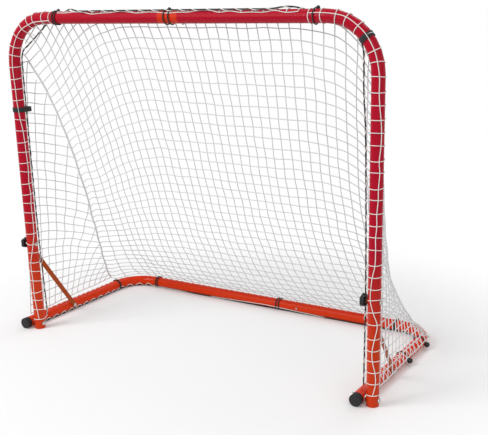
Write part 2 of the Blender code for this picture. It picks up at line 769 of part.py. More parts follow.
def make_front_ties(carrier, black):
    """Ties on the crossbar, which go all the way round but for a small gap beside their knot."""
    start = math.radians(TIE_START)
    full = math.radians(TIE_SWEEP)
    single = tie_mesh("tie_single", 1, start, full, TIE_KNOT_DIAMETER)
    double = tie_mesh("tie_double", 2, start, full, TIE_KNOT_DIAMETER)
    wide = tie_mesh("tie_wide", 2, start, full, TIE_KNOT_DIAMETER, MIDDLE_TIE_PITCH)
    height = BAR_HEIGHT
    bar_end = POST_X - TOP_BEND
    left = (-bar_end + TOP_LEFT_TIE_INSET, 0, height)
    middle = (TOP_SEAM - MIDDLE_TIE_STEP, 0, height)
    right = (bar_end - TOP_RIGHT_TIE_INSET, 0, height)
    place_tie("tie_top_left", double, black, carrier, left, "x")
    place_tie("tie_top_middle", wide, black, carrier, middle, "x")
    place_tie("tie_top_right", single, black, carrier, right, "x")


def make_base_ties(carrier, black):
    """Ties on the base. They are pressed under the tube, so each one stops short of the ground."""
    low = math.asin((TUBE_RADIUS - TIE_DIAMETER / 2 - 2 * SLIP) / (TUBE_RADIUS + SLIP + TIE_DIAMETER / 2))
    inner = math.radians(TIE_INNER_END)
    sweep = math.pi + inner + low
    outer_start = -low
    bar_single = tie_mesh("tie_bar", 1, outer_start, sweep, 0)
    bar_double = tie_mesh("tie_bar_double", 2, outer_start, sweep, 0)
    left = (BASE_X["left"] + REAR_BEND + REAR_LEFT_TIE_INSET, REAR_Y, TUBE_RADIUS)
    middle = (REAR_SEAM, REAR_Y, TUBE_RADIUS)
    right = (BASE_X["right"] - REAR_BEND - REAR_RIGHT_TIE_INSET, REAR_Y, TUBE_RADIUS)
    place_tie("tie_rear_left", bar_single, black, carrier, left, "x")
    place_tie("tie_rear_middle", bar_double, black, carrier, middle, "x")
    place_tie("tie_rear_right", bar_single, black, carrier, right, "x")
    left_point = (BASE_X["left"], SIDE_SEAM + SIDE_TIE_STEP, TUBE_RADIUS)
    place_tie("tie_side_left", bar_single, black, carrier, left_point, "y")
    hang = math.radians(BALL_HANG)
    ball_tie = tie_mesh("tie_ball", 1, -hang, math.pi + inner + hang, TIE_BALL_DIAMETER)
    ball_tie.transform(Matrix.Rotation(math.pi, 4, "Z"))
    for name, y in (("tie_side_right", SIDE_SEAM + SIDE_TIE_STEP), ("tie_brace_right", RIGHT_TIE)):
        place_tie(name, ball_tie, black, carrier, (BASE_X["right"], y, TUBE_RADIUS), "y")


def make_bands(carrier, black):
    """Flat straps round the left post and round the right top bend."""
    inner = TUBE_RADIUS + SLIP
    outer = inner + BAND_THICKNESS
    half = BAND_WIDTH / 2
    loop = [(-half, inner), (-half, outer), (half, outer), (half, inner), (-half, inner)]
    ring = lathe_mesh("band", loop, 24)
    post = place("band_post_left", ring, black, carrier, (-POST_X, 0, POST_SEAM_HEIGHT))
    post.rotation_euler = (0, math.pi / 2, 0)
    middle = (BEND_STEPS / 2 - 0.5) / BEND_STEPS * math.pi / 2
    chord = TOP_BEND * math.cos(math.pi / 4 / BEND_STEPS)
    x = POST_X - TOP_BEND + chord * math.cos(middle)
    z = BAR_HEIGHT - TOP_BEND + chord * math.sin(middle)
    bend = place("band_bend_right", ring, black, carrier, (x, 0, z))
    bend.rotation_euler = (0, math.pi / 2 - middle, 0)
    bpy.context.view_layer.update()


def front_cord_route():
    """The edge cord of the mouth: up behind the left post, over the crossbar and down behind the right post."""
    reach = TUBE_RADIUS + TIE_DIAMETER + 3 * SLIP + EDGE_CORD_DIAMETER / 2
    behind = reach + CORD_STAND_OFF
    over = reach + SLIP
    key = []
    for sign, low, high in ((-1, CORD_LEFT_LOW, CORD_LEFT_HIGH), (1, CORD_RIGHT_LOW, CORD_RIGHT_HIGH)):
        half = [Vector((sign * (POST_X - inset), behind, height)) for inset, height in low]
        half += [Vector((sign * (POST_X - inset), behind, BAR_HEIGHT - drop)) for inset, drop in high]
        for inset, degrees in CORD_BAR:
            turn = math.radians(degrees)
            y = over * math.cos(turn)
            half.append(Vector((sign * (POST_X - inset), y, BAR_HEIGHT + over * math.sin(turn))))
        key += half if sign < 0 else half[::-1]
    return smooth_route(key, EDGE_CORD_STEPS)


def smooth_route(key, steps):
    """A smooth curve through chosen points, by Catmull-Rom spans."""
    points = []
    padded = [2 * key[0] - key[1]] + key + [2 * key[-1] - key[-2]]
    for index in range(1, len(padded) - 2):
        before, start, end, after = padded[index - 1 : index + 3]
        for step in range(steps):
            t = step / steps
            points.append(
                0.5
                * (
                    2 * start
                    + (end - before) * t
                    + (2 * before - 5 * start + 4 * end - after) * t * t
                    + (3 * start - before - 3 * end + after) * t * t * t
                )
            )
    points.append(key[-1])
    return points


def base_cord_route():
    """The edge cord of the base: low along the inner side of the left tube, rear bar and right tube."""
    reach = TUBE_RADIUS + SLIP + EDGE_CORD_DIAMETER / 2
    drop = TUBE_RADIUS - EDGE_CORD_DIAMETER / 2 - BASE_CORD_LIFT
    inward = math.sqrt(reach**2 - drop**2)
    height = TUBE_RADIUS - drop
    points = []
    for sign, side in ((-1, "left"), (1, "right")):
        x = BASE_X[side] - sign * inward
        straight = [Vector((x, BASE_CORD_START + BASE_CORD_STEP * step, height)) for step in range(9)]
        centre = Vector((BASE_X[side] - sign * REAR_BEND, REAR_Y - REAR_BEND, height))
        bend = arc(centre, sign * X_AXIS, Y_AXIS, REAR_BEND - inward, BEND_STEPS)
        half = straight + bend
        points += half if sign < 0 else half[::-1]
    return points


def make_edge_cords(front, base, black):
    """The elastic cords that lace the net's edges."""
    for name, carrier, route in (
        ("edge_cord_mouth", front, front_cord_route()),
        ("edge_cord_base", base, base_cord_route()),
    ):
        mesh = mesh_of_object(curve_object(route, EDGE_CORD_DIAMETER / 2, 2, True), name)
        place(name, mesh, black, carrier)


def lattice_mesh(name, surface, columns, rows):
    """A flat net: square-cut strands on a surface given by u and v from 0 to 1."""
    half = NET_STRAND / 2
    small = 0.001
    bm = bmesh.new()
    knots = {}
    for row in range(rows + 1):
        for column in range(columns + 1):
            u = column / columns
            v = row / rows
            across = surface(min(u + small, 1), v) - surface(max(u - small, 0), v)
            down = surface(u, min(v + small, 1)) - surface(u, max(v - small, 0))
            across.normalize()
            down.normalize()
            corners = []
            for a, b in ((-1, -1), (1, -1), (1, 1), (-1, 1)):
                corners.append(bm.verts.new(surface(u, v) + half * (a * across + b * down)))
            knots[row, column] = corners
            bm.faces.new(corners)
    for row in range(rows + 1):
        for column in range(columns):
            here = knots[row, column]
            there = knots[row, column + 1]
            bm.faces.new((here[1], there[0], there[3], here[2]))
    for row in range(rows):
        for column in range(columns + 1):
            here = knots[row, column]
            below = knots[row + 1, column]
            bm.faces.new((here[3], here[2], below[1], below[0]))
    mesh = mesh_from(name, bm, smooth=False)
    sheet = bpy.data.objects.new("sheet", mesh)
    bpy.context.collection.objects.link(sheet)
    depth = sheet.modifiers.new("depth", "SOLIDIFY")
    depth.thickness = NET_STRAND
    depth.offset = 0
    return mesh_of_object(sheet, name)


def bezier(start, middle, end, t):
    """A point on a curve that leaves start towards middle and comes to end from it."""
    return (1 - t) ** 2 * start + 2 * t * (1 - t) * middle + t * t * end


def net_top(u):
    """The net's upper edge behind the crossbar and its bends, with u from -1 at the left to 1."""
    reach = POST_X - NET_TOP_INSET
    x = reach * u
    past = abs(x) - (POST_X - TOP_BEND)
    z = BAR_HEIGHT
    if past > 0:
        z = BAR_HEIGHT - TOP_BEND + math.sqrt(max(TOP_BEND**2 - past**2, 0))
    return Vector((x, TUBE_RADIUS + NET_OFFSET, z))


def net_foot(u):
    """The net's lower edge on top of the rear bar and its bends, with u from 0 at the left to 1."""
    left = BASE_X["left"] - NET_LEFT_REACH
    right = BASE_X["right"] + NET_RIGHT_REACH
    x = left + (right - left) * u
    bend = REAR_BEND + NET_FOOT_REACH
    past = max(BASE_X["left"] + REAR_BEND - x, x - BASE_X["right"] + REAR_BEND, 0.0)
    y = REAR_Y - REAR_BEND + math.sqrt(max(bend**2 - past**2, 0.0))
    tie_top = TUBE_RADIUS + (TUBE_RADIUS + SLIP + TIE_DIAMETER / 2) / math.cos(math.pi / TIE_STEPS)
    return Vector((x, y, tie_top + TIE_DIAMETER / 2 + SLIP + NET_STRAND / 2))


def net_waist(v):
    """How far the back's edges are drawn inward at a share of the way down."""
    return NET_WAIST * math.sin(math.pi * v)


def net_back(u, v):
    """The back of the net: down from the crossbar, sagging, to the top of the rear bar."""
    top = net_top(2 * u - 1)
    bottom = net_foot(u)
    middle = Vector(((top.x + bottom.x) / 2, TUBE_RADIUS + NET_HANG, NET_SAG_HEIGHT))
    point = bezier(top, middle, bottom, v)
    point.x += net_waist(v) * (1 - 2 * u) ** 3
    return point


def side_surface(sign):
    """The side of the net, from behind the post to the edge of the back."""

    def surface(u, v):
        down = NET_SIDE_START + (1 - NET_SIDE_START) * v
        drawn = sign * net_waist(down)
        seam = net_back((sign + 1) / 2, down)
        seam.x += sign * NET_SEAM_GAP + drawn
        high_x = sign * (POST_X + NET_SEAM_GAP)
        low_x = net_foot((sign + 1) / 2).x + sign * NET_SEAM_GAP
        high_z = NET_SIDE_TOP
        post_x = high_x + (low_x - high_x) * v
        post = Vector((post_x, TUBE_RADIUS + NET_OFFSET, high_z + (NET_SIDE_FOOT - high_z) * v))
        point = post.lerp(seam, u)
        point.x -= drawn * u**2
        return point

    return surface


def make_net(carrier, white):
    """The net as three panels: the sagging back and the two sides."""
    back = lattice_mesh("net_back", net_back, NET_BACK_COLUMNS, NET_BACK_ROWS)
    place("net_back", back, white, carrier)
    for side, sign in SIDES.items():
        mesh = lattice_mesh("net_" + side, side_surface(sign), NET_SIDE_COLUMNS, NET_SIDE_ROWS)
        place("net_" + side, mesh, white, carrier)


def centre_footprint(root):
    """Moves the whole goal so that the middle of its footprint is at the origin."""
    corners = []
    for thing in bpy.data.objects:
        if thing.type == "MESH" and not thing.hide_render:
            corners += [thing.matrix_world @ Vector(corner) for corner in thing.bound_box]
    for axis in (0, 1):
        values = [corner[axis] for corner in corners]
        root.location[axis] = -(min(values) + max(values)) / 2
    bpy.context.view_layer.update()
    print("footprint moved by", [round(value, 6) for value in root.location])


def build():
    """Makes every piece, each under the carrier of the group it moves with."""
    clear_scene()
    red = material("red_powder_coat", (0.55, 0.02, 0.02), 0.3)
    rubber = material("black_rubber", (0.02, 0.02, 0.02), 0.7)
    plastic = material("black_plastic", (0.015, 0.015, 0.015), 0.45)
    steel = material("zinc_steel", (0.6, 0.6, 0.58), 0.35, 1.0)
    elastic = material("black_elastic", (0.02, 0.02, 0.02), 0.8)
    cord = material("white_net_cord", (0.9, 0.9, 0.88), 0.8)
    base = empty("base_frame", (0, 0, 0))
    front = empty("front_frame", (0, 0, PIVOT_HEIGHT), base)
    knobs = {}
    for side in SIDES:
        knobs[side] = empty("knob_axis_" + side, (HARDWARE_X[side], 0, CLAMP_HEIGHT - PIVOT_HEIGHT), front)
    tubes = make_front_tubes(front, red)
    tubes.update(make_base_tubes(base, red))
    drill(tubes, base, front)
    make_pivots(base, steel)
    make_braces(base, red, steel)
    make_clamps(front, knobs, steel, plastic)
    make_end_caps(base, rubber)
    make_post_plugs(front, rubber)
    make_snaps(front, base, steel)
    make_front_ties(front, elastic)
    make_base_ties(base, elastic)
    make_bands(front, elastic)
    make_edge_cords(front, base, elastic)
    make_net(base, cord)
    centre_footprint(base)


build()
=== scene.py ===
import bisect
import math
import random

import bpy
from bpy.props import FloatProperty, IntProperty, PointerProperty
from bpy.types import Operator, Panel, PropertyGroup
from mathutils import Matrix, Vector, noise


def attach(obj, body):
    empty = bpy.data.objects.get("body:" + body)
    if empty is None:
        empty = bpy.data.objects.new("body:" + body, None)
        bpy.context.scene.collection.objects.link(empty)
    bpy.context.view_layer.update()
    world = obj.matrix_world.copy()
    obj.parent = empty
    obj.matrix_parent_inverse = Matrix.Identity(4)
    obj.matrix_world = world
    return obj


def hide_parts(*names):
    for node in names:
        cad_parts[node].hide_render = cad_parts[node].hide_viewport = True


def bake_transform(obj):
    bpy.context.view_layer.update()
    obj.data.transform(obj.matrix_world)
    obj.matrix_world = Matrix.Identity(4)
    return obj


bl_info = {
    "name": "Street hockey goal dressing",
    "version": (1, 0, 0),
    "blender": (4, 5, 0),
    "location": "View3D > Sidebar > Goal",
    "description": "Adds the net, cords, ties and finishes to the folding goal frame",
    "category": "Object",
}

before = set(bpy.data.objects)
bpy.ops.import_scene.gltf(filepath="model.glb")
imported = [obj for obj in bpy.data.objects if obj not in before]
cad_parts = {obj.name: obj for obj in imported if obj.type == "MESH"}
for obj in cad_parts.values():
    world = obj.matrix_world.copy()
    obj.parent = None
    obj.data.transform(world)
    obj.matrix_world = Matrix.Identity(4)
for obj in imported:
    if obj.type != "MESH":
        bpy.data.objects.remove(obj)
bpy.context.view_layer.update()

# Where the layout's own origin, mid-mouth on the ground, lies in the row frame
MOUTH = Vector((0.027001, -0.288561, 0.0))

# Sizes of the frame in metres
TUBE_RADIUS = 0.01905
POST_X = 0.66675
BAR_HEIGHT = 1.09855
REAR_Y = 0.59055
TOP_BEND = 0.150
REAR_BEND = 0.110
CLAMP_HEIGHT = 0.320
BRACE_FOOT = 0.205
BASE_LEFT = -0.70785
BASE_RIGHT = 0.62565
X_AXIS = Vector((1, 0, 0))
Y_AXIS = Vector((0, 1, 0))
Z_AXIS = Vector((0, 0, 1))

# The mouth's edge cord: how far inside the post's centre line it runs, at heights above the ground and
# at drops below the crossbar's centre line
CORD_LEFT_LOW = ((0.014, 0.045), (0.006, 0.350), (0.005, 0.700))
CORD_LEFT_HIGH = ((0.006, 0.170), (0.014, 0.112), (0.055, 0.080), (0.098, 0.048), (0.140, 0.018))
CORD_RIGHT_LOW = ((0.042, 0.045), (0.040, 0.350), (0.046, 0.750), (0.054, 0.900))
CORD_RIGHT_HIGH = ((0.060, 0.075), (0.105, 0.032), (0.145, 0.018))
CORD_BEHIND = 0.02745

# Where the edge cord climbs over the crossbar: inset from the post's centre line, and the angle round the
# bar in degrees from straight behind it
CORD_BAR = ((0.185, 5), (0.230, 45), (0.270, 88), (0.320, 128), (0.400, 128), (0.500, 128))
CORD_OVER = 0.02575
CORD_STEPS = 8

# The net's shape: the back's sag, the greatest draw of its left and right edges towards the middle and how
# early it comes, how far its rows dip towards the edges and over which share of the width, from where and
# how much the rows are pulled apart towards the rear bar, and the slack of the strands
NET_OFFSET = 0.0125
NET_HANG = 0.130
NET_SAG_HEIGHT = 0.300
NET_DRAW = ((0.150, 0.7), (0.060, 1.0))
NET_SEAM_GAP = 0.0044
ROW_DIP = ((0.19, 0.36), (0.07, 0.22))
ROW_STRETCH = (0.55, 0.6)
SIDE_SHARE = 0.86
NET_SLACK = 0.0035
SLACK_SCALE = 14.0

# Where the net is made fast: inset of its upper edge's ends, its lower edge's reach past the tubes' middles
# at the left, right and rear, the height of that edge, the height of the sides' front corners and the share
# of the way down the seam at which the sides begin
NET_TOP_INSET = 0.004
NET_FOOT_LEFT = 0.0302
NET_FOOT_RIGHT = 0.0305
NET_FOOT_REAR = 0.002
NET_FOOT_HEIGHT = 0.0442
NET_CUT = 0.030
SIDE_TOP = 0.02

# Turns of lacing round the front frame: their pitch, where they stop at the foot and along the crossbar, and
# the degrees from outward, by way of the front, where one begins and ends. At the foot and at the clamp a
# turn leaves room for what stands to the left of each post
TURN_PITCH = 0.036
TURN_STEPS = 14
LOWEST_TURN = 0.03
INNERMOST_TURN = 0.47
TURN_START = -35
TURN_END = 205
ROOM_START = 48
ROOM_END = 132
FOOT_ROOM = 0.05
CLAMP_ROOM = 0.034
TURN_SLOPE = 0.006
NET_TIE_OUT = 0.0085
NET_TIE_BACK = 0.0315

# The strand along the left (-1) and the right post: heights above the ground, each with the degrees from
# outward at which it runs there, judged from the photograph. Below them, how much the degrees vary, how far
# the strand stands off the turns and the share of a turn's slope at which it crosses
POST_STRANDS = {
    -1: ((0.03, 132), (0.10, 106), (0.26, 106), (0.33, 148), (0.40, 168), (0.66, 160), (0.80, 132),
         (0.90, 114), (1.06, 118)),
    1: ((0.03, 66), (0.09, 44), (0.17, 84), (0.25, 38), (0.33, 104), (0.38, 88), (0.45, 66), (0.62, 54),
        (0.80, 38), (0.95, 62)),
}
STRAND_SPREAD = 5
STRAND_LIFT = 0.0006
STRAND_CROSSING = 0.6

# Cord wound round the mouth's edge cord: length of one turn and its uneven spread, distance from the edge
# cord's middle, and step
WINDING_TURN = 0.048
WINDING_SPREAD = (0.8, 1.2)
WINDING_REACH = 0.0029
WINDING_STEP = 0.005

# Meshes that come over the crossbar to the strand along it: their number, first place, pitch, lift and the
# degrees from the top towards the front where they begin, end, and how much the end varies
OVER_COUNT = 25
OVER_FIRST = -0.44
OVER_PITCH = 0.0365
OVER_LIFT = 0.0014
OVER_START = -100
OVER_END = 46
OVER_SPREAD = (-16, 14)

# Turns of lacing round the base tubes: pitch, first place, number on a side tube and on a bend, lift, slant
# and the degrees from outward towards the top where one begins and ends
BASE_TURN_PITCH = 0.027
BASE_TURN_FIRST = 0.045
SIDE_TURNS = 16
BEND_TURNS = 5
BASE_TURN_LIFT = 0.0002
BASE_TURN_SLANT = 0.008
BASE_TURN_START = 100
BASE_TURN_END = -132

# The base's edge cord, along the inner and lower side of the tubes, and the strand wound round it: how far
# the strand stands inward and up from the cord at its lowest, and how much is added at its highest
BASE_CORD_REACH = 0.02135
BASE_CORD_DROP = 0.01625
BASE_CORD_FIRST = 0.03
BASE_CORD_STEP = 0.025
BASE_CORD_STEPS = 16
BASE_WINDING_TURN = 0.042
BASE_WINDING_PARTS = 4
BASE_WINDING_LOW = (0.0004, -0.001)
BASE_WINDING_RISE = (0.0064, 0.0112)

# Ties: places along the crossbar, the rear bar and the side tubes, and the pitch of their turns
TOP_TIES = (-0.455, -0.006, 0.482)
REAR_TIES = (-0.575, 0.010, 0.495)
SIDE_TIE = 0.476
BRACE_TIE = 0.322
TIE_PITCH = 0.0042
TIE_PITCHES = {
    "tie_top_left": 0.010, "tie_top_middle": 0.018, "tie_rear_left": 0.009, "tie_rear_middle": 0.012,
}

# In degrees, where a top tie begins over the bar from behind and how far it runs round, and how far the ties
# of the base reach down on the tube's outer and inner side. Then the knots' size, and how far ties and balls
# stand off the tube
TOP_TIE_START = 60
TOP_TIE_SWEEP = 348
TIE_OUTSIDE = 52
TIE_INSIDE = 36
BALL_OUTSIDE = 8.02
TIE_KNOT = 0.0115
TIE_CLEARANCE = 0.0005
BALL_CLEARANCE = 0.0006

# Flat bands: height of the left one, sizes, and how far and which way the left one is drawn out
BAND_HEIGHT = 0.797
BAND_WIDTH = 0.016
BAND_THICKNESS = 0.0022
BAND_CLEARANCE = 0.0004
BAND_EDGE = 0.0006
BAND_DRAW = 0.020
BAND_AWAY = Vector((0.5, 0.866, 0))
BAND_TAPER = 1.5
BEND_FACETS = 8

# Heights between which a tube's or brace's colour changes, and the painted highlight, a brighter orange-red
# patch about the crossbar's joint: its place, half its length and its soft edge
POST_FADE = (0.20, 0.46)
BASE_FADE = (0.0, 0.04)
BRACE_FADE = (0.0, 0.3)
HIGHLIGHT_X = MOUTH.x - 0.004
HIGHLIGHT_HALF = 0.036
HIGHLIGHT_EDGE = 0.003

# Sizes of the finishes' patterns in millimetres. The true grain of the mouldings and the ribs of the braid
# are too fine to show, so they are drawn as coarse as this
RIPPLE = 2.381
HAZE = 41.67
RUBBER_GRAIN = 1.111
NYLON_GRAIN = 0.7143
ZINC_CLOUD = 3.846
BRAID_RIB = 2.417
BRAID_CROSSING = 0.9091
CORD_PLY = 2.856
CORD_FUZZ = 3.333
FLOOR_MOTTLE = 333.3

# The floor, which fades out into the background between two distances from the middle, the background's
# light, and the lamps: place, the point each is aimed at, size and share of the key light's power
FLOOR_SIZE = 8
FLOOR_DROP = 0.0005
FLOOR_FADE = (0.62, 1.35)
BACKGROUND_LIGHT = 0.58
LAMPS = {
    "key": ((-2.2, -3.2, 3.6), (0, 0, 0.5), 2.2, 4.4),
    "fill": ((3.4, -2.2, 1.8), (0, 0, 0.4), 2.6, 0.9),
    "rim": ((0.6, 3.0, 3.2), (0, 0, 0.5), 2.4, 0.9),
}

# The camera, in the goal's own layout, with its turns in radians, and the photograph's size and the place of
# the lens axis in it in pixels
CAMERA_PLACE = (1.5869, -2.0964, 1.1264)
CAMERA_YAW = 0.5306
CAMERA_PITCH = 0.2816
CAMERA_ROLL = -0.0143
PHOTO_WIDTH = 488
PHOTO_HEIGHT = 435
LENS_AXIS = (279.0, 252.5)

# How the names of the painted pieces begin
RED = ("post_left", "post_right", "top_corner")
ORANGE = ("base_side", "rear_corner")
BRACES = ("brace_left", "brace_right")


class GoalNetSettings(PropertyGroup):
    """Sizes of the net."""

    mesh_width: FloatProperty(
        name="Mesh width", description="Width of one mesh of the net", default=0.0365, unit="LENGTH"
    )
    mesh_height: FloatProperty(
        name="Mesh height", description="Height of one mesh of the net", default=0.0335, unit="LENGTH"
    )
    strand: FloatProperty(
        name="Strand", description="Diameter of the net's cord", default=0.0033, unit="LENGTH"
    )
    lacing: FloatProperty(
        name="Lacing", description="Diameter of the cord round the frame", default=0.0024, unit="LENGTH"
    )


class GoalCordSettings(PropertyGroup):
    """Sizes of the elastic cords and ties."""

    edge: FloatProperty(
        name="Edge cord", description="Diameter of the elastic edge cord", default=0.0042, unit="LENGTH"
    )
    tie: FloatProperty(
        name="Tie", description="Diameter of the elastic ties", default=0.0038, unit="LENGTH"
    )
    ball: FloatProperty(
        name="Ball", description="Diameter of the ties' balls", default=0.0185, unit="LENGTH"
    )


class GoalStageSettings(PropertyGroup):
    """The camera's picture and the lights."""

    focal: FloatProperty(
        name="Focal length", description="In pixels of the picture's width", default=853.34
    )
    key: FloatProperty(name="Key light", description="Power of the key light", default=28.0)
    seed: IntProperty(name="Seed", description="Seed of the small irregularities", default=5)


def linear(code):
    """A hex colour as linear RGB."""
    values = [int(code[i : i + 2], 16) / 255 for i in (1, 3, 5)]
    return [v / 12.92 if v <= 0.04045 else ((v + 0.055) / 1.055) ** 2.4 for v in values]


def rgba(code):
    """A hex colour as linear RGBA."""
    return (*linear(code), 1)


def grain_scale(millimetres):
    """A noise or cell texture's scale for grain of this size."""
    return 1000 / millimetres


def band_scale(millimetres):
    """A diagonal wave texture's scale for bands that lie this far apart along each axis."""
    return 100 * math.tau / millimetres


def node(tree, kind, links=(), **settings):
    """Adds a node, sets its inputs or properties by name, and links its inputs."""
    made = tree.nodes.new(kind)
    for name, value in settings.items():
        label = name.replace("_", " ")
        socket = next((s for s in made.inputs if s.name.lower() == label and s.enabled), None)
        if socket is not None:
            socket.default_value = value
        else:
            setattr(made, name, value)
    for name, source in links:
        tree.links.new(source, made.inputs[name])
    return made


def blank_material(name):
    """A material whose only node gives the object coordinates, with the link to them for its patterns."""
    made = bpy.data.materials.new(name)
    made.use_nodes = True
    made.node_tree.nodes.clear()
    place = node(made.node_tree, "ShaderNodeTexCoord")
    return made, made.node_tree, [("Vector", place.outputs["Object"])]


def finish_material(tree, shader):
    """Joins the shader to the output."""
    output = tree.nodes.new("ShaderNodeOutputMaterial")
    tree.links.new(shader.outputs[0], output.inputs["Surface"])


def near_joint(tree, split):
    """A factor that is 1 within a short length about the crossbar's joint, where the painted highlight lies,
    and 0 elsewhere.
    """
    away = node(tree, "ShaderNodeMath", operation="SUBTRACT")
    tree.links.new(split.outputs["X"], away.inputs[0])
    away.inputs[1].default_value = HIGHLIGHT_X
    size = node(tree, "ShaderNodeMath", operation="ABSOLUTE")
    tree.links.new(away.outputs[0], size.inputs[0])
    inside = node(tree, "ShaderNodeMapRange", [("Value", size.outputs[0])])
    inside.inputs["From Min"].default_value = HIGHLIGHT_HALF + HIGHLIGHT_EDGE
    inside.inputs["From Max"].default_value = HIGHLIGHT_HALF - HIGHLIGHT_EDGE
    return inside


def powder_coat(name, low, high, heights, painted_highlight=None):
    """Glossy powder coat, sprayed and baked: a clear, slightly rippled skin over deep colour.

    The colour goes from low to high between two heights. A brighter colour about the crossbar's joint is a
    painted highlight."""
    made, tree, place = blank_material(name)
    split = node(tree, "ShaderNodeSeparateXYZ", place)
    ramp = node(tree, "ShaderNodeMapRange", [("Value", split.outputs["Z"])])
    ramp.inputs["From Min"].default_value, ramp.inputs["From Max"].default_value = heights
    tone = node(tree, "ShaderNodeMix", [("Factor", ramp.outputs["Result"])], data_type="RGBA")
    tone.inputs["A"].default_value = rgba(low)
    tone.inputs["B"].default_value = rgba(high)
    # Painted highlight: a brighter orange-red over the crossbar's joint
    if painted_highlight:
        inside = near_joint(tree, split)
        links = [("Factor", inside.outputs["Result"]), ("A", tone.outputs["Result"])]
        tone = node(tree, "ShaderNodeMix", links, data_type="RGBA")
        tone.inputs["B"].default_value = rgba(painted_highlight)
    ripple = node(tree, "ShaderNodeTexNoise", place, scale=grain_scale(RIPPLE), detail=2.0)
    bump = node(
        tree, "ShaderNodeBump", [("Height", ripple.outputs["Fac"])], strength=0.05, distance=0.0004
    )
    haze = node(tree, "ShaderNodeTexNoise", place, scale=grain_scale(HAZE), detail=3.0)
    rough = node(tree, "ShaderNodeMapRange", [("Value", haze.outputs["Fac"])], to_min=0.20, to_max=0.32)
    links = [
        ("Base Color", tone.outputs["Result"]),
        ("Roughness", rough.outputs["Result"]),
        ("Normal", bump.outputs["Normal"]),
    ]
    shader = node(tree, "ShaderNodeBsdfPrincipled", links, coat_weight=0.14, coat_roughness=0.08)
    shader.inputs["Specular IOR Level"].default_value = 0.10
    finish_material(tree, shader)
    return made


def moulded_black(name, code, roughness, size, detail, strength, depth):
    """A black moulding with the grain of its mould."""
    made, tree, place = blank_material(name)
    grain = node(tree, "ShaderNodeTexNoise", place, scale=grain_scale(size), detail=detail)
    links = [("Height", grain.outputs["Fac"])]
    bump = node(tree, "ShaderNodeBump", links, strength=strength, distance=depth)
    links = [("Normal", bump.outputs["Normal"])]
    shader = node(tree, "ShaderNodeBsdfPrincipled", links, base_color=rgba(code), roughness=roughness)
    finish_material(tree, shader)
    return made


def moulded_rubber():
    """Compression-moulded rubber: matt black with a fine dull grain."""
    grain = {"size": RUBBER_GRAIN, "detail": 3, "strength": 0.25, "depth": 0.0003}
    return moulded_black("moulded_black_rubber", "#1c1d1f", 0.72, **grain)


def moulded_nylon():
    """Injection-moulded nylon: satin black with soft highlights on its lobes."""
    grain = {"size": NYLON_GRAIN, "detail": 2, "strength": 0.12, "depth": 0.0002}
    return moulded_black("moulded_black_nylon", "#17181a", 0.42, **grain)


def zinc_plate():
    """Turned steel, bright zinc plated: pale grey metal with faint cloudy streaks."""
    made, tree, place = blank_material("zinc_plated_steel")
    cloud = node(tree, "ShaderNodeTexNoise", place, scale=grain_scale(ZINC_CLOUD), detail=4.0)
    rough = node(tree, "ShaderNodeMapRange", [("Value", cloud.outputs["Fac"])], to_min=0.24, to_max=0.46)
    links = [("Roughness", rough.outputs["Result"])]
    shader = node(tree, "ShaderNodeBsdfPrincipled", links, base_color=rgba("#c9c8c2"), metallic=1.0)
    finish_material(tree, shader)
    return made


def braided_elastic():
    """Elastic cord in a braided cover: black with the tiny crossed ribs of the braid."""
    made, tree, place = blank_material("braided_black_elastic")
    ribs = node(tree, "ShaderNodeTexWave", place, scale=band_scale(BRAID_RIB), bands_direction="DIAGONAL")
    crossings = node(tree, "ShaderNodeTexVoronoi", place, scale=grain_scale(BRAID_CROSSING))
    weave = node(tree, "ShaderNodeMath", operation="MULTIPLY")
    tree.links.new(ribs.outputs["Fac"], weave.inputs[0])
    tree.links.new(crossings.outputs["Distance"], weave.inputs[1])
    bump = node(tree, "ShaderNodeBump", [("Height", weave.outputs[0])], strength=0.5, distance=0.0005)
    links = [("Normal", bump.outputs["Normal"])]
    shader = node(
        tree, "ShaderNodeBsdfPrincipled", links, base_color=rgba("#17191b"), roughness=0.7, sheen_weight=0.15
    )
    finish_material(tree, shader)
    return made


def twisted_cord(name, code):
    """Twisted polyester cord: matt, with the slanting ridges of its plies. The lacing is off-white; the
    net's pale grey is painted shade on white cord.
    """
    made, tree, place = blank_material(name)
    plies = node(tree, "ShaderNodeTexWave", place, scale=band_scale(CORD_PLY), bands_direction="DIAGONAL")
    bump = node(tree, "ShaderNodeBump", [("Height", plies.outputs["Fac"])], strength=0.45, distance=0.0005)
    fuzz = node(tree, "ShaderNodeTexNoise", place, scale=grain_scale(CORD_FUZZ), detail=2.0)
    tone = node(tree, "ShaderNodeMix", [("Factor", fuzz.outputs["Fac"])], data_type="RGBA")
    tone.inputs["A"].default_value = rgba(code)
    tone.inputs["B"].default_value = [min(1.0, 1.12 * v) for v in linear(code)] + [1]
    links = [("Base Color", tone.outputs["Result"]), ("Normal", bump.outputs["Normal"])]
    shader = node(tree, "ShaderNodeBsdfPrincipled", links, roughness=0.85, sheen_weight=0.1)
    finish_material(tree, shader)
    return made


def at(x, y, z):
    """A point of the goal's own layout, in the row frame."""
    return MOUTH + Vector((x, y, z))


def deselect():
    """Clears the selection before an operator is used."""
    for thing in bpy.context.selected_objects:
        thing.select_set(False)


def give(thing, material):
    """Gives an object one material in place of any it has."""
    thing.data.materials.clear()
    thing.data.materials.append(material)


def cords(name, lines, diameter, material, sides=1):
    """Round cords along lists of points: one path curve with a spline for each, turned into a mesh."""
    deselect()
    bpy.ops.curve.primitive_nurbs_path_add(location=(0, 0, 0))
    made = bpy.context.object
    made.name = name
    curve = made.data
    curve.splines.clear()
    curve.bevel_depth = diameter / 2
    curve.bevel_resolution = sides
    curve.use_fill_caps = True
    for line in lines:
        spline = curve.splines.new("POLY")
        spline.points.add(len(line) - 1)
        for index, point in enumerate(line):
            spline.points[index].co = (*point, 1)
    bpy.ops.object.convert(target="MESH")
    made = bpy.context.object
    bpy.ops.object.shade_smooth()
    give(made, material)
    return made


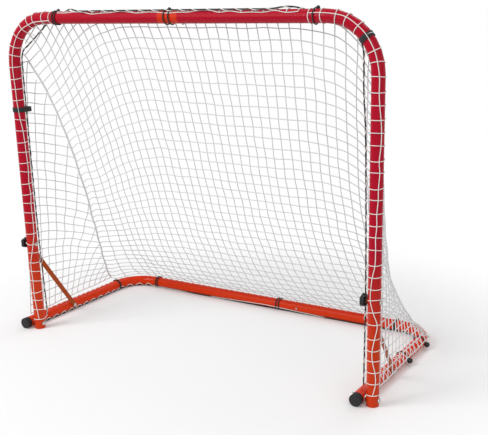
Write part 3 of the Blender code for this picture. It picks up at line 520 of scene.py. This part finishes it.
def arc(centre, first, second, radius, steps, start=0.0, end=90.0):
    """Points round a centre from start to end, in degrees from first towards second."""
    points = []
    for step in range(steps + 1):
        angle = math.radians(start + (end - start) * step / steps)
        points.append(centre + radius * (first * math.cos(angle) + second * math.sin(angle)))
    return points


def spline_route(key, steps):
    """A smooth curve through chosen points."""
    points = []
    padded = [2 * key[0] - key[1]] + key + [2 * key[-1] - key[-2]]
    for index in range(1, len(padded) - 2):
        before, start, end, after = padded[index - 1 : index + 3]
        for step in range(steps):
            t = step / steps
            square = (2 * before - 5 * start + 4 * end - after) * t * t
            cube = (3 * start - before - 3 * end + after) * t * t * t
            points.append(0.5 * (2 * start + (end - before) * t + square + cube))
    points.append(key[-1])
    return points


def mouth_cord_key():
    """The chosen points of the mouth's edge cord, as the frame holds them."""
    key = []
    for sign, low, high in ((-1, CORD_LEFT_LOW, CORD_LEFT_HIGH), (1, CORD_RIGHT_LOW, CORD_RIGHT_HIGH)):
        half = [at(sign * (POST_X - inset), CORD_BEHIND, height) for inset, height in low]
        half += [at(sign * (POST_X - inset), CORD_BEHIND, BAR_HEIGHT - drop) for inset, drop in high]
        for inset, degrees in CORD_BAR:
            turn = math.radians(degrees)
            y = CORD_OVER * math.cos(turn)
            half.append(at(sign * (POST_X - inset), y, BAR_HEIGHT + CORD_OVER * math.sin(turn)))
        key += half if sign < 0 else half[::-1]
    return key


def front_frame_line(pitch):
    """Evenly spaced points along the front frame's axis from the left foot to the right foot.

    Each is (point, along, outward), where outward points away from the mouth's middle."""
    straight = BAR_HEIGHT - TOP_BEND
    bend = TOP_BEND * math.pi / 2
    bar = 2 * (POST_X - TOP_BEND)
    total = 2 * straight + 2 * bend + bar
    count = round(total / pitch)
    found = []
    for index in range(count + 1):
        s = total * index / count
        if s < straight:
            found.append((at(-POST_X, 0, s), Z_AXIS, -X_AXIS))
        elif s < straight + bend:
            a = (s - straight) / TOP_BEND
            out = -X_AXIS * math.cos(a) + Z_AXIS * math.sin(a)
            found.append((at(-POST_X + TOP_BEND, 0, straight) + TOP_BEND * out, out.cross(-Y_AXIS), out))
        elif s < straight + bend + bar:
            x = -POST_X + TOP_BEND + s - straight - bend
            found.append((at(x, 0, BAR_HEIGHT), X_AXIS, Z_AXIS))
        elif s < total - straight:
            a = (s - straight - bend - bar) / TOP_BEND
            out = Z_AXIS * math.cos(a) + X_AXIS * math.sin(a)
            found.append((at(POST_X - TOP_BEND, 0, straight) + TOP_BEND * out, out.cross(-Y_AXIS), out))
        else:
            found.append((at(POST_X, 0, total - s), -Z_AXIS, X_AXIS))
    return found


def net_top(side):
    """The net's upper edge, with side from -1 at the left to 1 at the right."""
    x = (POST_X - NET_TOP_INSET) * side
    past = abs(x) - (POST_X - TOP_BEND)
    z = BAR_HEIGHT
    if past > 0:
        z = BAR_HEIGHT - TOP_BEND + math.sqrt(max(TOP_BEND**2 - past**2, 0))
    return at(x, TUBE_RADIUS + NET_OFFSET, z)


def net_foot(u):
    """The net's lower edge on the rear bar and its bends, with u from 0 at the left to 1."""
    left = BASE_LEFT - NET_FOOT_LEFT
    right = BASE_RIGHT + NET_FOOT_RIGHT
    x = left + (right - left) * u
    past = max(BASE_LEFT + REAR_BEND - x, x - BASE_RIGHT + REAR_BEND, 0.0)
    y = REAR_Y - REAR_BEND + math.sqrt(max((REAR_BEND + NET_FOOT_REAR) ** 2 - past**2, 0.0))
    return at(x, y, NET_FOOT_HEIGHT)


def net_draw(edge, v):
    """How far the back's left (0) or right (1) edge is drawn inward at a share of the way down."""
    most, early = NET_DRAW[edge]
    return most * math.sin(math.pi * v**early)


def net_back(u, v):
    """The back of the net, which sweeps back from behind the crossbar to the rear bar."""
    top = net_top(2 * u - 1)
    bottom = net_foot(u)
    middle = at(0, TUBE_RADIUS + NET_HANG, NET_SAG_HEIGHT)
    middle.x = (top.x + bottom.x) / 2
    point = (1 - v) ** 2 * top + 2 * v * (1 - v) * middle + v * v * bottom
    point.x += net_draw(0, v) * (1 - u) - net_draw(1, v) * u
    return point


def net_side(sign, u, v):
    """The side of the net, from behind the post to the edge of the back."""
    down = SIDE_TOP + (1 - SIDE_TOP) * v
    edge = (sign + 1) // 2
    drawn = sign * net_draw(edge, down)
    seam = net_back(edge, down)
    seam.x += sign * NET_SEAM_GAP + drawn
    high = BAR_HEIGHT - TOP_BEND
    low_x = net_foot(edge).x + sign * NET_SEAM_GAP
    high_x = MOUTH.x + sign * (POST_X + NET_SEAM_GAP)
    post = at(0, TUBE_RADIUS + NET_OFFSET, high + (NET_CUT - high) * v)
    post.x = high_x + (low_x - high_x) * v
    point = post.lerp(seam, u)
    point.x -= drawn * u**2
    return point


def slack(point):
    """A point of the net with the small unevenness of hand-tied meshes."""
    return point + NET_SLACK * noise.noise_vector(point * SLACK_SCALE)


class Evened:
    """A net surface whose second value is a share of the length down, so that meshes keep one height."""

    samples = 120

    def __init__(self, surface):
        self.surface = surface
        self.known = {}

    def column(self, u):
        """The lengths down a column at each sample."""
        key = round(u, 4)
        if key not in self.known:
            points = [self.surface(key, step / self.samples) for step in range(self.samples + 1)]
            run = [0.0]
            for first, second in zip(points, points[1:]):
                run.append(run[-1] + (second - first).length)
            self.known[key] = run
        return self.known[key]

    def point(self, u, share):
        """The point at u and a share of the length down, with the net's slack."""
        run = self.column(u)
        target = min(max(share, 0.0), 1.0) * run[-1]
        index = min(bisect.bisect_left(run, target, 1), self.samples)
        part = (target - run[index - 1]) / max(run[index] - run[index - 1], 1e-9)
        return slack(self.surface(u, (index - 1 + part) / self.samples))


def row_share(even, level, u):
    """Where a row lies down a column: rows dip towards the edges, and at the left they ignore the bend."""
    for (dip, width), along in zip(ROW_DIP, (u, 1 - u)):
        level += dip * (1 - level) * max(0.0, 1 - along / width) ** 2
    if u > 0.5:
        return level
    drop = BAR_HEIGHT - net_top(2 * u - 1).z
    length = even.column(u)[-1]
    return (level * (length + drop) - drop) / length


def back_lines(mesh_size):
    """The strands of the back: columns from bar to bar, and rows that begin at the bar where they dip."""
    even = Evened(net_back)
    length = even.column(0.5)[-1]
    columns = round(2 * POST_X / mesh_size[0])
    steps = 96
    lines = []
    for column in range(columns + 1):
        u = column / columns
        lines.append([even.point(u, step / steps) for step in range(steps + 1)])
    pitch = mesh_size[1] / length
    for row in range(-math.floor(ROW_DIP[0][0] / pitch), math.ceil(1 / pitch)):
        level = row * pitch
        level += ROW_STRETCH[1] * max(0.0, level - ROW_STRETCH[0]) ** 2
        run = []
        for step in range(2 * steps + 1):
            u = step / (2 * steps)
            share = row_share(even, level, u)
            if 0 <= share <= 1:
                run.append(even.point(u, share))
            elif run:
                lines.append(run)
                run = []
        lines.append(run)
    return [line for line in lines if len(line) > 1]


def side_lines(sign, mesh_size):
    """The strands of a side: rows from the post to the seam, and columns beside the post up to the seam."""
    even = Evened(lambda u, v: net_side(sign, u, v))
    height = BAR_HEIGHT - TOP_BEND - NET_CUT
    steps = 64
    lines = []
    rows = round(height / mesh_size[1])
    for row in range(rows + 1):
        lines.append([even.point(step / 16, row / rows) for step in range(17)])
    widths = []
    for step in range(steps + 1):
        share = step / steps
        widths.append((even.point(1.0, share) - even.point(0.0, share)).length)
    pitch = SIDE_SHARE * mesh_size[0]
    for column in range(math.floor(max(widths) / pitch) + 1):
        reach = column * pitch
        run = []
        for step, width in enumerate(widths):
            if width >= reach:
                run.append(even.point(reach / width, step / steps))
        if len(run) > 1:
            lines.append(run)
    lines.append([even.point(1.0, step / steps) for step in range(steps + 1)])
    return lines


class GOAL_OT_finishes(Operator):
    """Gives every piece of the frame its finish."""

    bl_idname = "goal.finishes"
    bl_label = "Frame finishes"

    def execute(self, context):
        # Each piece has the first of these that its name begins with
        finishes = (
            # The brighter orange-red about the crossbar's joint is a painted highlight on the crimson coat
            (RED, powder_coat("crimson_powder_coat", "#c8360a", "#b20425", POST_FADE, painted_highlight="#d2310a")),
            (ORANGE, powder_coat("orange_red_powder_coat", "#d63a06", "#d83003", BASE_FADE)),
            # The braces' brown is a darker copy of the orange coat: painted shade for the shade they lie in
            (BRACES, powder_coat("brace_powder_coat_with_painted_shade", "#a3420e", "#a8480e", BRACE_FADE)),
            (("base_cap", "post_plug"), moulded_rubber()),
            ("clamp_knob", moulded_nylon()),
            (("tie_", "band_", "edge_cord"), braided_elastic()),
            # The net's white cord is drawn pale grey: painted shade
            ("net_", twisted_cord("net_cord_with_painted_shade", "#d8dadb")),
            ("", zinc_plate()),
        )
        for name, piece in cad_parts.items():
            give(piece, next(finish for start, finish in finishes if name.startswith(start)))
        return {"FINISHED"}


def follow_fold(piece):
    """Bakes a soft piece's placement into its mesh."""
    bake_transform(piece)


class GOAL_OT_net(Operator):
    """Hangs the net's back and its two sides."""

    bl_idname = "goal.net"
    bl_label = "Net"

    def execute(self, context):
        settings = context.scene.goal_net
        # Without a seed the net's unevenness would change from run to run
        noise.seed_set(context.scene.goal_stage.seed)
        cord = bpy.data.materials["net_cord_with_painted_shade"]
        mesh_size = (settings.mesh_width, settings.mesh_height)
        made = cords("fine_net_back", back_lines(mesh_size), settings.strand, cord)
        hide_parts("net_back")
        follow_fold(made)
        for sign, side in ((-1, "left"), (1, "right")):
            made = cords("fine_net_" + side, side_lines(sign, mesh_size), settings.strand, cord)
            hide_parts("net_" + side)
            follow_fold(made)
        return {"FINISHED"}


def strand_lean(sign, height):
    """The angle round a post at which the strand along it runs."""
    table = POST_STRANDS[sign]
    for (low, first), (high, second) in zip(table, table[1:]):
        if height <= high:
            return first + (second - first) * max(0.0, height - low) / (high - low)
    return table[-1][1]


class GOAL_OT_lacing(Operator):
    """Wraps the net's edge round the front frame and round the base tubes."""

    bl_idname = "goal.lacing"
    bl_label = "Lacing"

    def execute(self, context):
        diameter = context.scene.goal_net.lacing
        reach = TUBE_RADIUS + diameter / 2
        chance = random.Random(context.scene.goal_stage.seed)
        white = twisted_cord("twisted_polyester_lacing", "#ecebe6")
        route = spline_route(mouth_cord_key(), CORD_STEPS)
        lines = self.front_turns(route, reach, chance)
        lines.append(self.wound(route, chance))
        made = cords("front_lacing", lines, diameter, white)
        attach(made, "front_frame")
        made = cords("base_lacing", self.base_turns(reach + BASE_TURN_LIFT, chance), diameter, white)
        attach(made, "base_frame")
        made = cords("top_edge_strand", self.top_strands(chance), diameter, white)
        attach(made, "front_frame")
        return {"FINISHED"}

    def front_turns(self, route, reach, chance):
        """Turns round the posts and bends, tied to net and edge cord, and a strand along each side."""
        lines = []
        strands = {-1: [], 1: []}
        for point, along, outward in front_frame_line(TURN_PITCH):
            local_x = point.x - MOUTH.x
            if point.z < LOWEST_TURN or abs(local_x) < INNERMOST_TURN:
                continue
            sign = -1 if local_x < 0 else 1
            slope = along * (TURN_SLOPE * chance.uniform(-1, 1))
            tight = point.z < FOOT_ROOM or abs(point.z - CLAMP_HEIGHT) < CLAMP_ROOM
            begin = ROOM_START if tight and sign < 0 else TURN_START
            end = ROOM_END if tight and sign > 0 else TURN_END
            line = []
            for step, spot in enumerate(arc(point, outward, -Y_AXIS, reach, TURN_STEPS, begin, end)):
                line.append(spot + slope * math.sin(math.pi * step / TURN_STEPS))
            if point.z < BAR_HEIGHT - TOP_BEND and begin == TURN_START:
                line.insert(0, point + outward * NET_TIE_OUT + Y_AXIS * NET_TIE_BACK)
            if end == TURN_END:
                line.append(min(route, key=lambda spot: (spot - point).length))
            lines.append(line)
            wander = chance.uniform(-STRAND_SPREAD, STRAND_SPREAD)
            lean = math.radians(strand_lean(sign, point.z) + wander)
            spot = point + slope * STRAND_CROSSING
            spot += (reach + STRAND_LIFT) * (outward * math.cos(lean) - Y_AXIS * math.sin(lean))
            strands[sign].append(spot)
        return lines + [spline_route(strands[sign], 4) for sign in (-1, 1)]

    def wound(self, route, chance):
        """The white strand wound in long turns round the mouth's edge cord."""
        turn = 0.0
        points = []
        for first, second in zip(route, route[1:]):
            length = (second - first).length
            along = (second - first).normalized()
            side = along.cross(Y_AXIS).normalized()
            parts = max(1, round(length / WINDING_STEP))
            for part in range(parts):
                turn += math.tau * length / parts / WINDING_TURN * chance.uniform(*WINDING_SPREAD)
                spot = first.lerp(second, part / parts)
                away = side * math.cos(turn) + along.cross(side) * math.sin(turn)
                points.append(spot + WINDING_REACH * away)
        return points

    def top_strands(self, chance):
        """The strand that wanders along the crossbar and the meshes that come over the bar to it."""
        reach = TUBE_RADIUS + OVER_LIFT
        key = []
        lines = []
        for index in range(OVER_COUNT):
            centre = at(OVER_FIRST + OVER_PITCH * index, 0, BAR_HEIGHT)
            end = OVER_END + chance.uniform(*OVER_SPREAD)
            over = arc(centre, Z_AXIS, -Y_AXIS, reach, 10, OVER_START, end)
            lines.append(over)
            key.append(over[-1])
        lines.append(spline_route(key, 4))
        return lines

    def base_turns(self, reach, chance):
        """Strands from the net over the outer side of each base tube and under it to the edge cord."""
        lines = []
        for side, x in ((-1, BASE_LEFT), (1, BASE_RIGHT)):
            for index in range(SIDE_TURNS):
                y = BASE_TURN_FIRST + BASE_TURN_PITCH * index
                if side > 0 and abs(y - BRACE_FOOT) < BASE_TURN_PITCH / 2:
                    continue
                lines.append(self.base_turn(at(x, y, TUBE_RADIUS), side * X_AXIS, Y_AXIS, reach, chance))
            middle = at(x - side * REAR_BEND, REAR_Y - REAR_BEND, TUBE_RADIUS)
            for index in range(1, BEND_TURNS + 1):
                a = math.pi / 2 * index / (BEND_TURNS + 1)
                outward = side * X_AXIS * math.cos(a) + Y_AXIS * math.sin(a)
                along = Y_AXIS * math.cos(a) - side * X_AXIS * math.sin(a)
                lines.append(self.base_turn(middle + REAR_BEND * outward, outward, along, reach, chance))
        bar = (BASE_RIGHT - REAR_BEND) - (BASE_LEFT + REAR_BEND)
        count = round(bar / BASE_TURN_PITCH)
        for index in range(count + 1):
            centre = at(BASE_LEFT + REAR_BEND + bar * index / count, REAR_Y, TUBE_RADIUS)
            lines.append(self.base_turn(centre, Y_AXIS, X_AXIS, reach, chance))
        return lines

    def base_turn(self, centre, outward, along, reach, chance):
        """One strand round a base tube."""
        slant = along * chance.uniform(-BASE_TURN_SLANT, BASE_TURN_SLANT)
        ring = arc(centre, outward, Z_AXIS, reach, TURN_STEPS, BASE_TURN_START, BASE_TURN_END)
        return [spot + slant * step / TURN_STEPS for step, spot in enumerate(ring)]


class GOAL_OT_edge_cords(Operator):
    """Runs the elastic edge cords through the net's edges."""

    bl_idname = "goal.edge_cords"
    bl_label = "Edge cords"

    def execute(self, context):
        size = context.scene.goal_cord.edge
        elastic = bpy.data.materials["braided_black_elastic"]
        route = spline_route(mouth_cord_key(), CORD_STEPS)
        made = cords("elastic_mouth", [route], size, elastic, sides=3)
        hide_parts("edge_cord_mouth")
        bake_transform(made)
        route = self.base_route()
        made = cords("elastic_base", [route], size, elastic, sides=3)
        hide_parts("edge_cord_base")
        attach(made, "base_frame")
        chance = random.Random(context.scene.goal_stage.seed + 1)
        white = bpy.data.materials["twisted_polyester_lacing"]
        winding = self.base_winding(route, chance)
        made = cords("base_edge_strand", [winding], context.scene.goal_net.lacing, white)
        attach(made, "base_frame")
        return {"FINISHED"}

    def base_route(self):
        """The base cord's route, low on the inner side of the tubes from the left foot to the right."""
        inward = math.sqrt(BASE_CORD_REACH**2 - BASE_CORD_DROP**2)
        height = TUBE_RADIUS - BASE_CORD_DROP
        points = []
        for sign, x in ((-1, BASE_LEFT), (1, BASE_RIGHT)):
            line_x = x - sign * inward
            half = []
            for step in range(BASE_CORD_STEPS + 1):
                half.append(at(line_x, BASE_CORD_FIRST + BASE_CORD_STEP * step, height))
            centre = at(x - sign * REAR_BEND, REAR_Y - REAR_BEND, height)
            half += arc(centre, sign * X_AXIS, Y_AXIS, REAR_BEND - inward, BASE_CORD_STEPS)
            points += half if sign < 0 else half[::-1]
        return points

    def base_winding(self, route, chance):
        """The white strand that climbs up the tube's side and back under the base cord."""
        points = []
        turn = 0.0
        for first, second in zip(route, route[1:]):
            length = (second - first).length
            across = (second - first).normalized().cross(Z_AXIS)
            for part in range(BASE_WINDING_PARTS):
                spot = first.lerp(second, part / BASE_WINDING_PARTS)
                share = length / BASE_WINDING_PARTS / BASE_WINDING_TURN
                turn += math.tau * share * chance.uniform(*WINDING_SPREAD)
                rise = (1 + math.cos(turn)) / 2
                aside = BASE_WINDING_LOW[0] + BASE_WINDING_RISE[0] * rise
                up = BASE_WINDING_LOW[1] + BASE_WINDING_RISE[1] * rise
                points.append(spot + aside * across + up * Z_AXIS)
        return points


def tie_points(turns, start, sweep, reach, pitch):
    """A tie round a tube along X, over and back once for each turn."""
    steps = 48
    points = []
    for turn in range(turns):
        x = (turn - (turns - 1) / 2) * pitch
        row = []
        for step in range(steps + 1):
            a = start + sweep * step / steps
            row.append(Vector((x, reach * math.cos(a), reach * math.sin(a))))
        if turn % 2:
            row.reverse()
        points += row
    return points


def ball_on(made, spot, size, material):
    """Adds a ball or knot at a tie's end, as part of the tie."""
    deselect()
    bpy.ops.mesh.primitive_uv_sphere_add(segments=28, ring_count=18, radius=size / 2, location=spot)
    ball = bpy.context.object
    bpy.ops.object.shade_smooth()
    bpy.ops.object.transform_apply(location=True, rotation=False, scale=False)
    give(ball, material)
    made.select_set(True)
    bpy.context.view_layer.objects.active = made
    bpy.ops.object.join()


class GOAL_OT_ties(Operator):
    """Fits the elastic ties and their balls and knots."""

    bl_idname = "goal.ties"
    bl_label = "Ties"

    def execute(self, context):
        size = context.scene.goal_cord
        elastic = bpy.data.materials["braided_black_elastic"]
        nylon = bpy.data.materials["moulded_black_nylon"]
        reach = TUBE_RADIUS + TIE_CLEARANCE + size.tie / 2
        ball = size.ball
        top = (TOP_TIE_START, TOP_TIE_SWEEP)
        base = (-TIE_OUTSIDE, 180 + TIE_INSIDE + TIE_OUTSIDE)
        side = (-BALL_OUTSIDE, 180 + TIE_INSIDE + BALL_OUTSIDE)
        specs = (
            ("tie_top_left", 2, top, (TOP_TIES[0], 0, BAR_HEIGHT), 0, "front_frame", TIE_KNOT),
            ("tie_top_middle", 2, top, (TOP_TIES[1], 0, BAR_HEIGHT), 0, "front_frame", TIE_KNOT),
            ("tie_top_right", 1, top, (TOP_TIES[2], 0, BAR_HEIGHT), 0, "front_frame", TIE_KNOT),
            ("tie_rear_left", 2, base, (REAR_TIES[0], REAR_Y, TUBE_RADIUS), 0, "base_frame", 0),
            ("tie_rear_middle", 2, base, (REAR_TIES[1], REAR_Y, TUBE_RADIUS), 0, "base_frame", 0),
            ("tie_rear_right", 2, base, (REAR_TIES[2], REAR_Y, TUBE_RADIUS), 0, "base_frame", 0),
            ("tie_side_left", 2, base, (BASE_LEFT, SIDE_TIE, TUBE_RADIUS), 90, "base_frame", 0),
            ("tie_side_right", 1, side, (BASE_RIGHT, SIDE_TIE, TUBE_RADIUS), -90, "base_frame", ball),
            ("tie_brace_right", 1, side, (BASE_RIGHT, BRACE_TIE, TUBE_RADIUS), -90, "base_frame", ball),
        )
        for name, turns, (start, sweep), place, angle, body, end_size in specs:
            pitch = TIE_PITCHES.get(name, TIE_PITCH)
            points = tie_points(turns, math.radians(start), math.radians(sweep), reach, pitch)
            made = cords("elastic_" + name, [points], size.tie, elastic, sides=3)
            if end_size:
                outward = points[0].copy()
                outward.x = 0
                outward.normalize()
                spot = outward * (TUBE_RADIUS + BALL_CLEARANCE + end_size / 2)
                spot.x = points[0].x
                ball_on(made, spot, end_size, nylon)
            turn = Matrix.Rotation(math.radians(angle), 4, "Z")
            made.data.transform(Matrix.Translation(at(*place)) @ turn)
            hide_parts(name)
            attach(made, body)
        return {"FINISHED"}


class GOAL_OT_bands(Operator):
    """Straps the flat bands round the left post and the right bend."""

    bl_idname = "goal.bands"
    bl_label = "Bands"

    def execute(self, context):
        elastic = bpy.data.materials["braided_black_elastic"]
        middle = (BEND_FACETS / 2 - 0.5) / BEND_FACETS * math.pi / 2
        chord = TOP_BEND * math.cos(math.pi / 4 / BEND_FACETS)
        x = POST_X - TOP_BEND + chord * math.cos(middle)
        z = BAR_HEIGHT - TOP_BEND + chord * math.sin(middle)
        specs = (
            ("band_post_left", at(-POST_X, 0, BAND_HEIGHT), 0.0),
            ("band_bend_right", at(x, 0, z), -middle),
        )
        for name, place, lean in specs:
            deselect()
            bpy.ops.mesh.primitive_cylinder_add(
                vertices=64, radius=TUBE_RADIUS + BAND_CLEARANCE, depth=BAND_WIDTH, end_fill_type="NOTHING"
            )
            made = bpy.context.object
            made.name = "strap_" + name
            if name == "band_post_left":
                self.draw_out(made)
            wall = made.modifiers.new("wall", "SOLIDIFY")
            wall.thickness = BAND_THICKNESS
            wall.offset = 1
            edge = made.modifiers.new("edge", "BEVEL")
            edge.width = BAND_EDGE
            edge.segments = 2
            bpy.ops.object.modifier_apply(modifier="wall")
            bpy.ops.object.modifier_apply(modifier="edge")
            bpy.ops.object.shade_smooth_by_angle(angle=math.radians(40))
            made.data.transform(Matrix.Translation(place) @ Matrix.Rotation(lean, 4, "Y"))
            give(made, elastic)
            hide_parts(name)
            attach(made, "front_frame")
        return {"FINISHED"}

    def draw_out(self, made):
        """Pulls a ring into an oval that takes in the cord and the net's edge behind the post."""
        for vertex in made.data.vertices:
            flat = Vector((vertex.co.x, vertex.co.y, 0)).normalized()
            vertex.co += BAND_DRAW * max(0.0, flat.dot(BAND_AWAY)) ** BAND_TAPER * BAND_AWAY


def area_light(name, place, target, size, power):
    """A soft square light aimed at a point."""
    bpy.ops.object.light_add(type="AREA", location=place)
    lamp = bpy.context.object
    lamp.name = name
    lamp.data.size = size
    lamp.data.energy = power
    lamp.rotation_euler = (Vector(target) - Vector(place)).to_track_quat("-Z", "Y").to_euler()
    return lamp


class GOAL_OT_stage(Operator):
    """Sets the floor, the lights, the white background and the camera."""

    bl_idname = "goal.stage"
    bl_label = "Stage"

    def execute(self, context):
        settings = context.scene.goal_stage
        deselect()
        bpy.ops.mesh.primitive_plane_add(size=FLOOR_SIZE, location=(0, 0, -FLOOR_DROP))
        floor = bpy.context.object
        floor.name = "studio_floor"
        made, tree, place = blank_material("pale_floor_paint")
        mottle = node(tree, "ShaderNodeTexNoise", place, scale=grain_scale(FLOOR_MOTTLE))
        tone = node(tree, "ShaderNodeMix", [("Factor", mottle.outputs["Fac"])], data_type="RGBA")
        tone.inputs["A"].default_value = rgba("#f7f7f7")
        tone.inputs["B"].default_value = rgba("#f9f9f9")
        links = [("Base Color", tone.outputs["Result"])]
        shader = node(tree, "ShaderNodeBsdfPrincipled", links, roughness=0.9)
        reach = node(tree, "ShaderNodeVectorMath", place, operation="LENGTH")
        fade = node(tree, "ShaderNodeMapRange", [("Value", reach.outputs["Value"])])
        fade.interpolation_type = "SMOOTHSTEP"
        fade.inputs["From Min"].default_value, fade.inputs["From Max"].default_value = FLOOR_FADE
        clear = node(tree, "ShaderNodeBsdfTransparent")
        blend = node(tree, "ShaderNodeMixShader", [("Fac", fade.outputs["Result"])])
        tree.links.new(shader.outputs[0], blend.inputs[1])
        tree.links.new(clear.outputs[0], blend.inputs[2])
        finish_material(tree, blend)
        give(floor, made)
        for name, (spot, target, size, share) in LAMPS.items():
            area_light(name, spot, target, size, settings.key * share)
        self.background(context.scene)
        camera = self.camera(context.scene, settings.focal)
        context.scene.view_settings.view_transform = "Standard"
        return {"FINISHED"}

    def background(self, scene):
        """White where the camera looks past the floor, and an even soft light for the rest."""
        world = bpy.data.worlds.new("studio")
        world.use_nodes = True
        tree = world.node_tree
        tree.nodes.clear()
        path = node(tree, "ShaderNodeLightPath")
        seen = node(tree, "ShaderNodeBackground", color=(1, 1, 1, 1), strength=1.0)
        soft = node(tree, "ShaderNodeBackground", color=(1, 1, 1, 1), strength=BACKGROUND_LIGHT)
        mix = node(tree, "ShaderNodeMixShader")
        tree.links.new(path.outputs["Is Camera Ray"], mix.inputs[0])
        tree.links.new(soft.outputs[0], mix.inputs[1])
        tree.links.new(seen.outputs[0], mix.inputs[2])
        output = tree.nodes.new("ShaderNodeOutputWorld")
        tree.links.new(mix.outputs[0], output.inputs["Surface"])
        scene.world = world

    def camera(self, scene, focal):
        """The camera where the photograph was taken from."""
        bpy.ops.object.camera_add(location=at(*CAMERA_PLACE))
        camera = bpy.context.object
        ahead = Vector((-math.sin(CAMERA_YAW), math.cos(CAMERA_YAW), 0))
        forward = ahead * math.cos(CAMERA_PITCH) - Z_AXIS * math.sin(CAMERA_PITCH)
        right = ahead.cross(Z_AXIS)
        up = right.cross(forward)
        side = right * math.cos(CAMERA_ROLL) + up * math.sin(CAMERA_ROLL)
        top = -right * math.sin(CAMERA_ROLL) + up * math.cos(CAMERA_ROLL)
        turn = Matrix((side, top, -forward)).transposed()
        camera.rotation_euler = turn.to_euler()
        camera.data.lens = focal / PHOTO_WIDTH * camera.data.sensor_width
        camera.data.shift_x = (PHOTO_WIDTH / 2 - LENS_AXIS[0]) / PHOTO_WIDTH
        camera.data.shift_y = (LENS_AXIS[1] - PHOTO_HEIGHT / 2) / PHOTO_WIDTH
        scene.camera = camera
        return camera


class GOAL_PT_panel(Panel):
    """Lists the steps that dress the goal."""

    bl_label = "Goal"
    bl_idname = "GOAL_PT_panel"
    bl_space_type = "VIEW_3D"
    bl_region_type = "UI"
    bl_category = "Goal"

    def draw(self, context):
        for step in STEPS:
            self.layout.operator(step.bl_idname)
        for group in ("goal_net", "goal_cord", "goal_stage"):
            settings = getattr(context.scene, group)
            for name in settings.bl_rna.properties.keys():
                if name not in ("rna_type", "name"):
                    self.layout.prop(settings, name)


STEPS = (
    GOAL_OT_finishes, GOAL_OT_net, GOAL_OT_lacing, GOAL_OT_edge_cords, GOAL_OT_ties, GOAL_OT_bands,
    GOAL_OT_stage,
)
CLASSES = (GoalNetSettings, GoalCordSettings, GoalStageSettings, *STEPS, GOAL_PT_panel)


def register():
    """Makes the settings, steps and panel known."""
    for item in CLASSES:
        bpy.utils.register_class(item)
    bpy.types.Scene.goal_net = PointerProperty(type=GoalNetSettings)
    bpy.types.Scene.goal_cord = PointerProperty(type=GoalCordSettings)
    bpy.types.Scene.goal_stage = PointerProperty(type=GoalStageSettings)


def unregister():
    """Takes the settings, steps and panel away again."""
    del bpy.types.Scene.goal_stage
    del bpy.types.Scene.goal_cord
    del bpy.types.Scene.goal_net
    for item in reversed(CLASSES):
        bpy.utils.unregister_class(item)


def main():
    """Dresses the goal step by step."""
    register()
    bpy.ops.goal.finishes()
    bpy.ops.goal.net()
    bpy.ops.goal.lacing()
    bpy.ops.goal.edge_cords()
    bpy.ops.goal.ties()
    bpy.ops.goal.bands()
    bpy.ops.goal.stage()


if __name__ == "__main__":
    main()
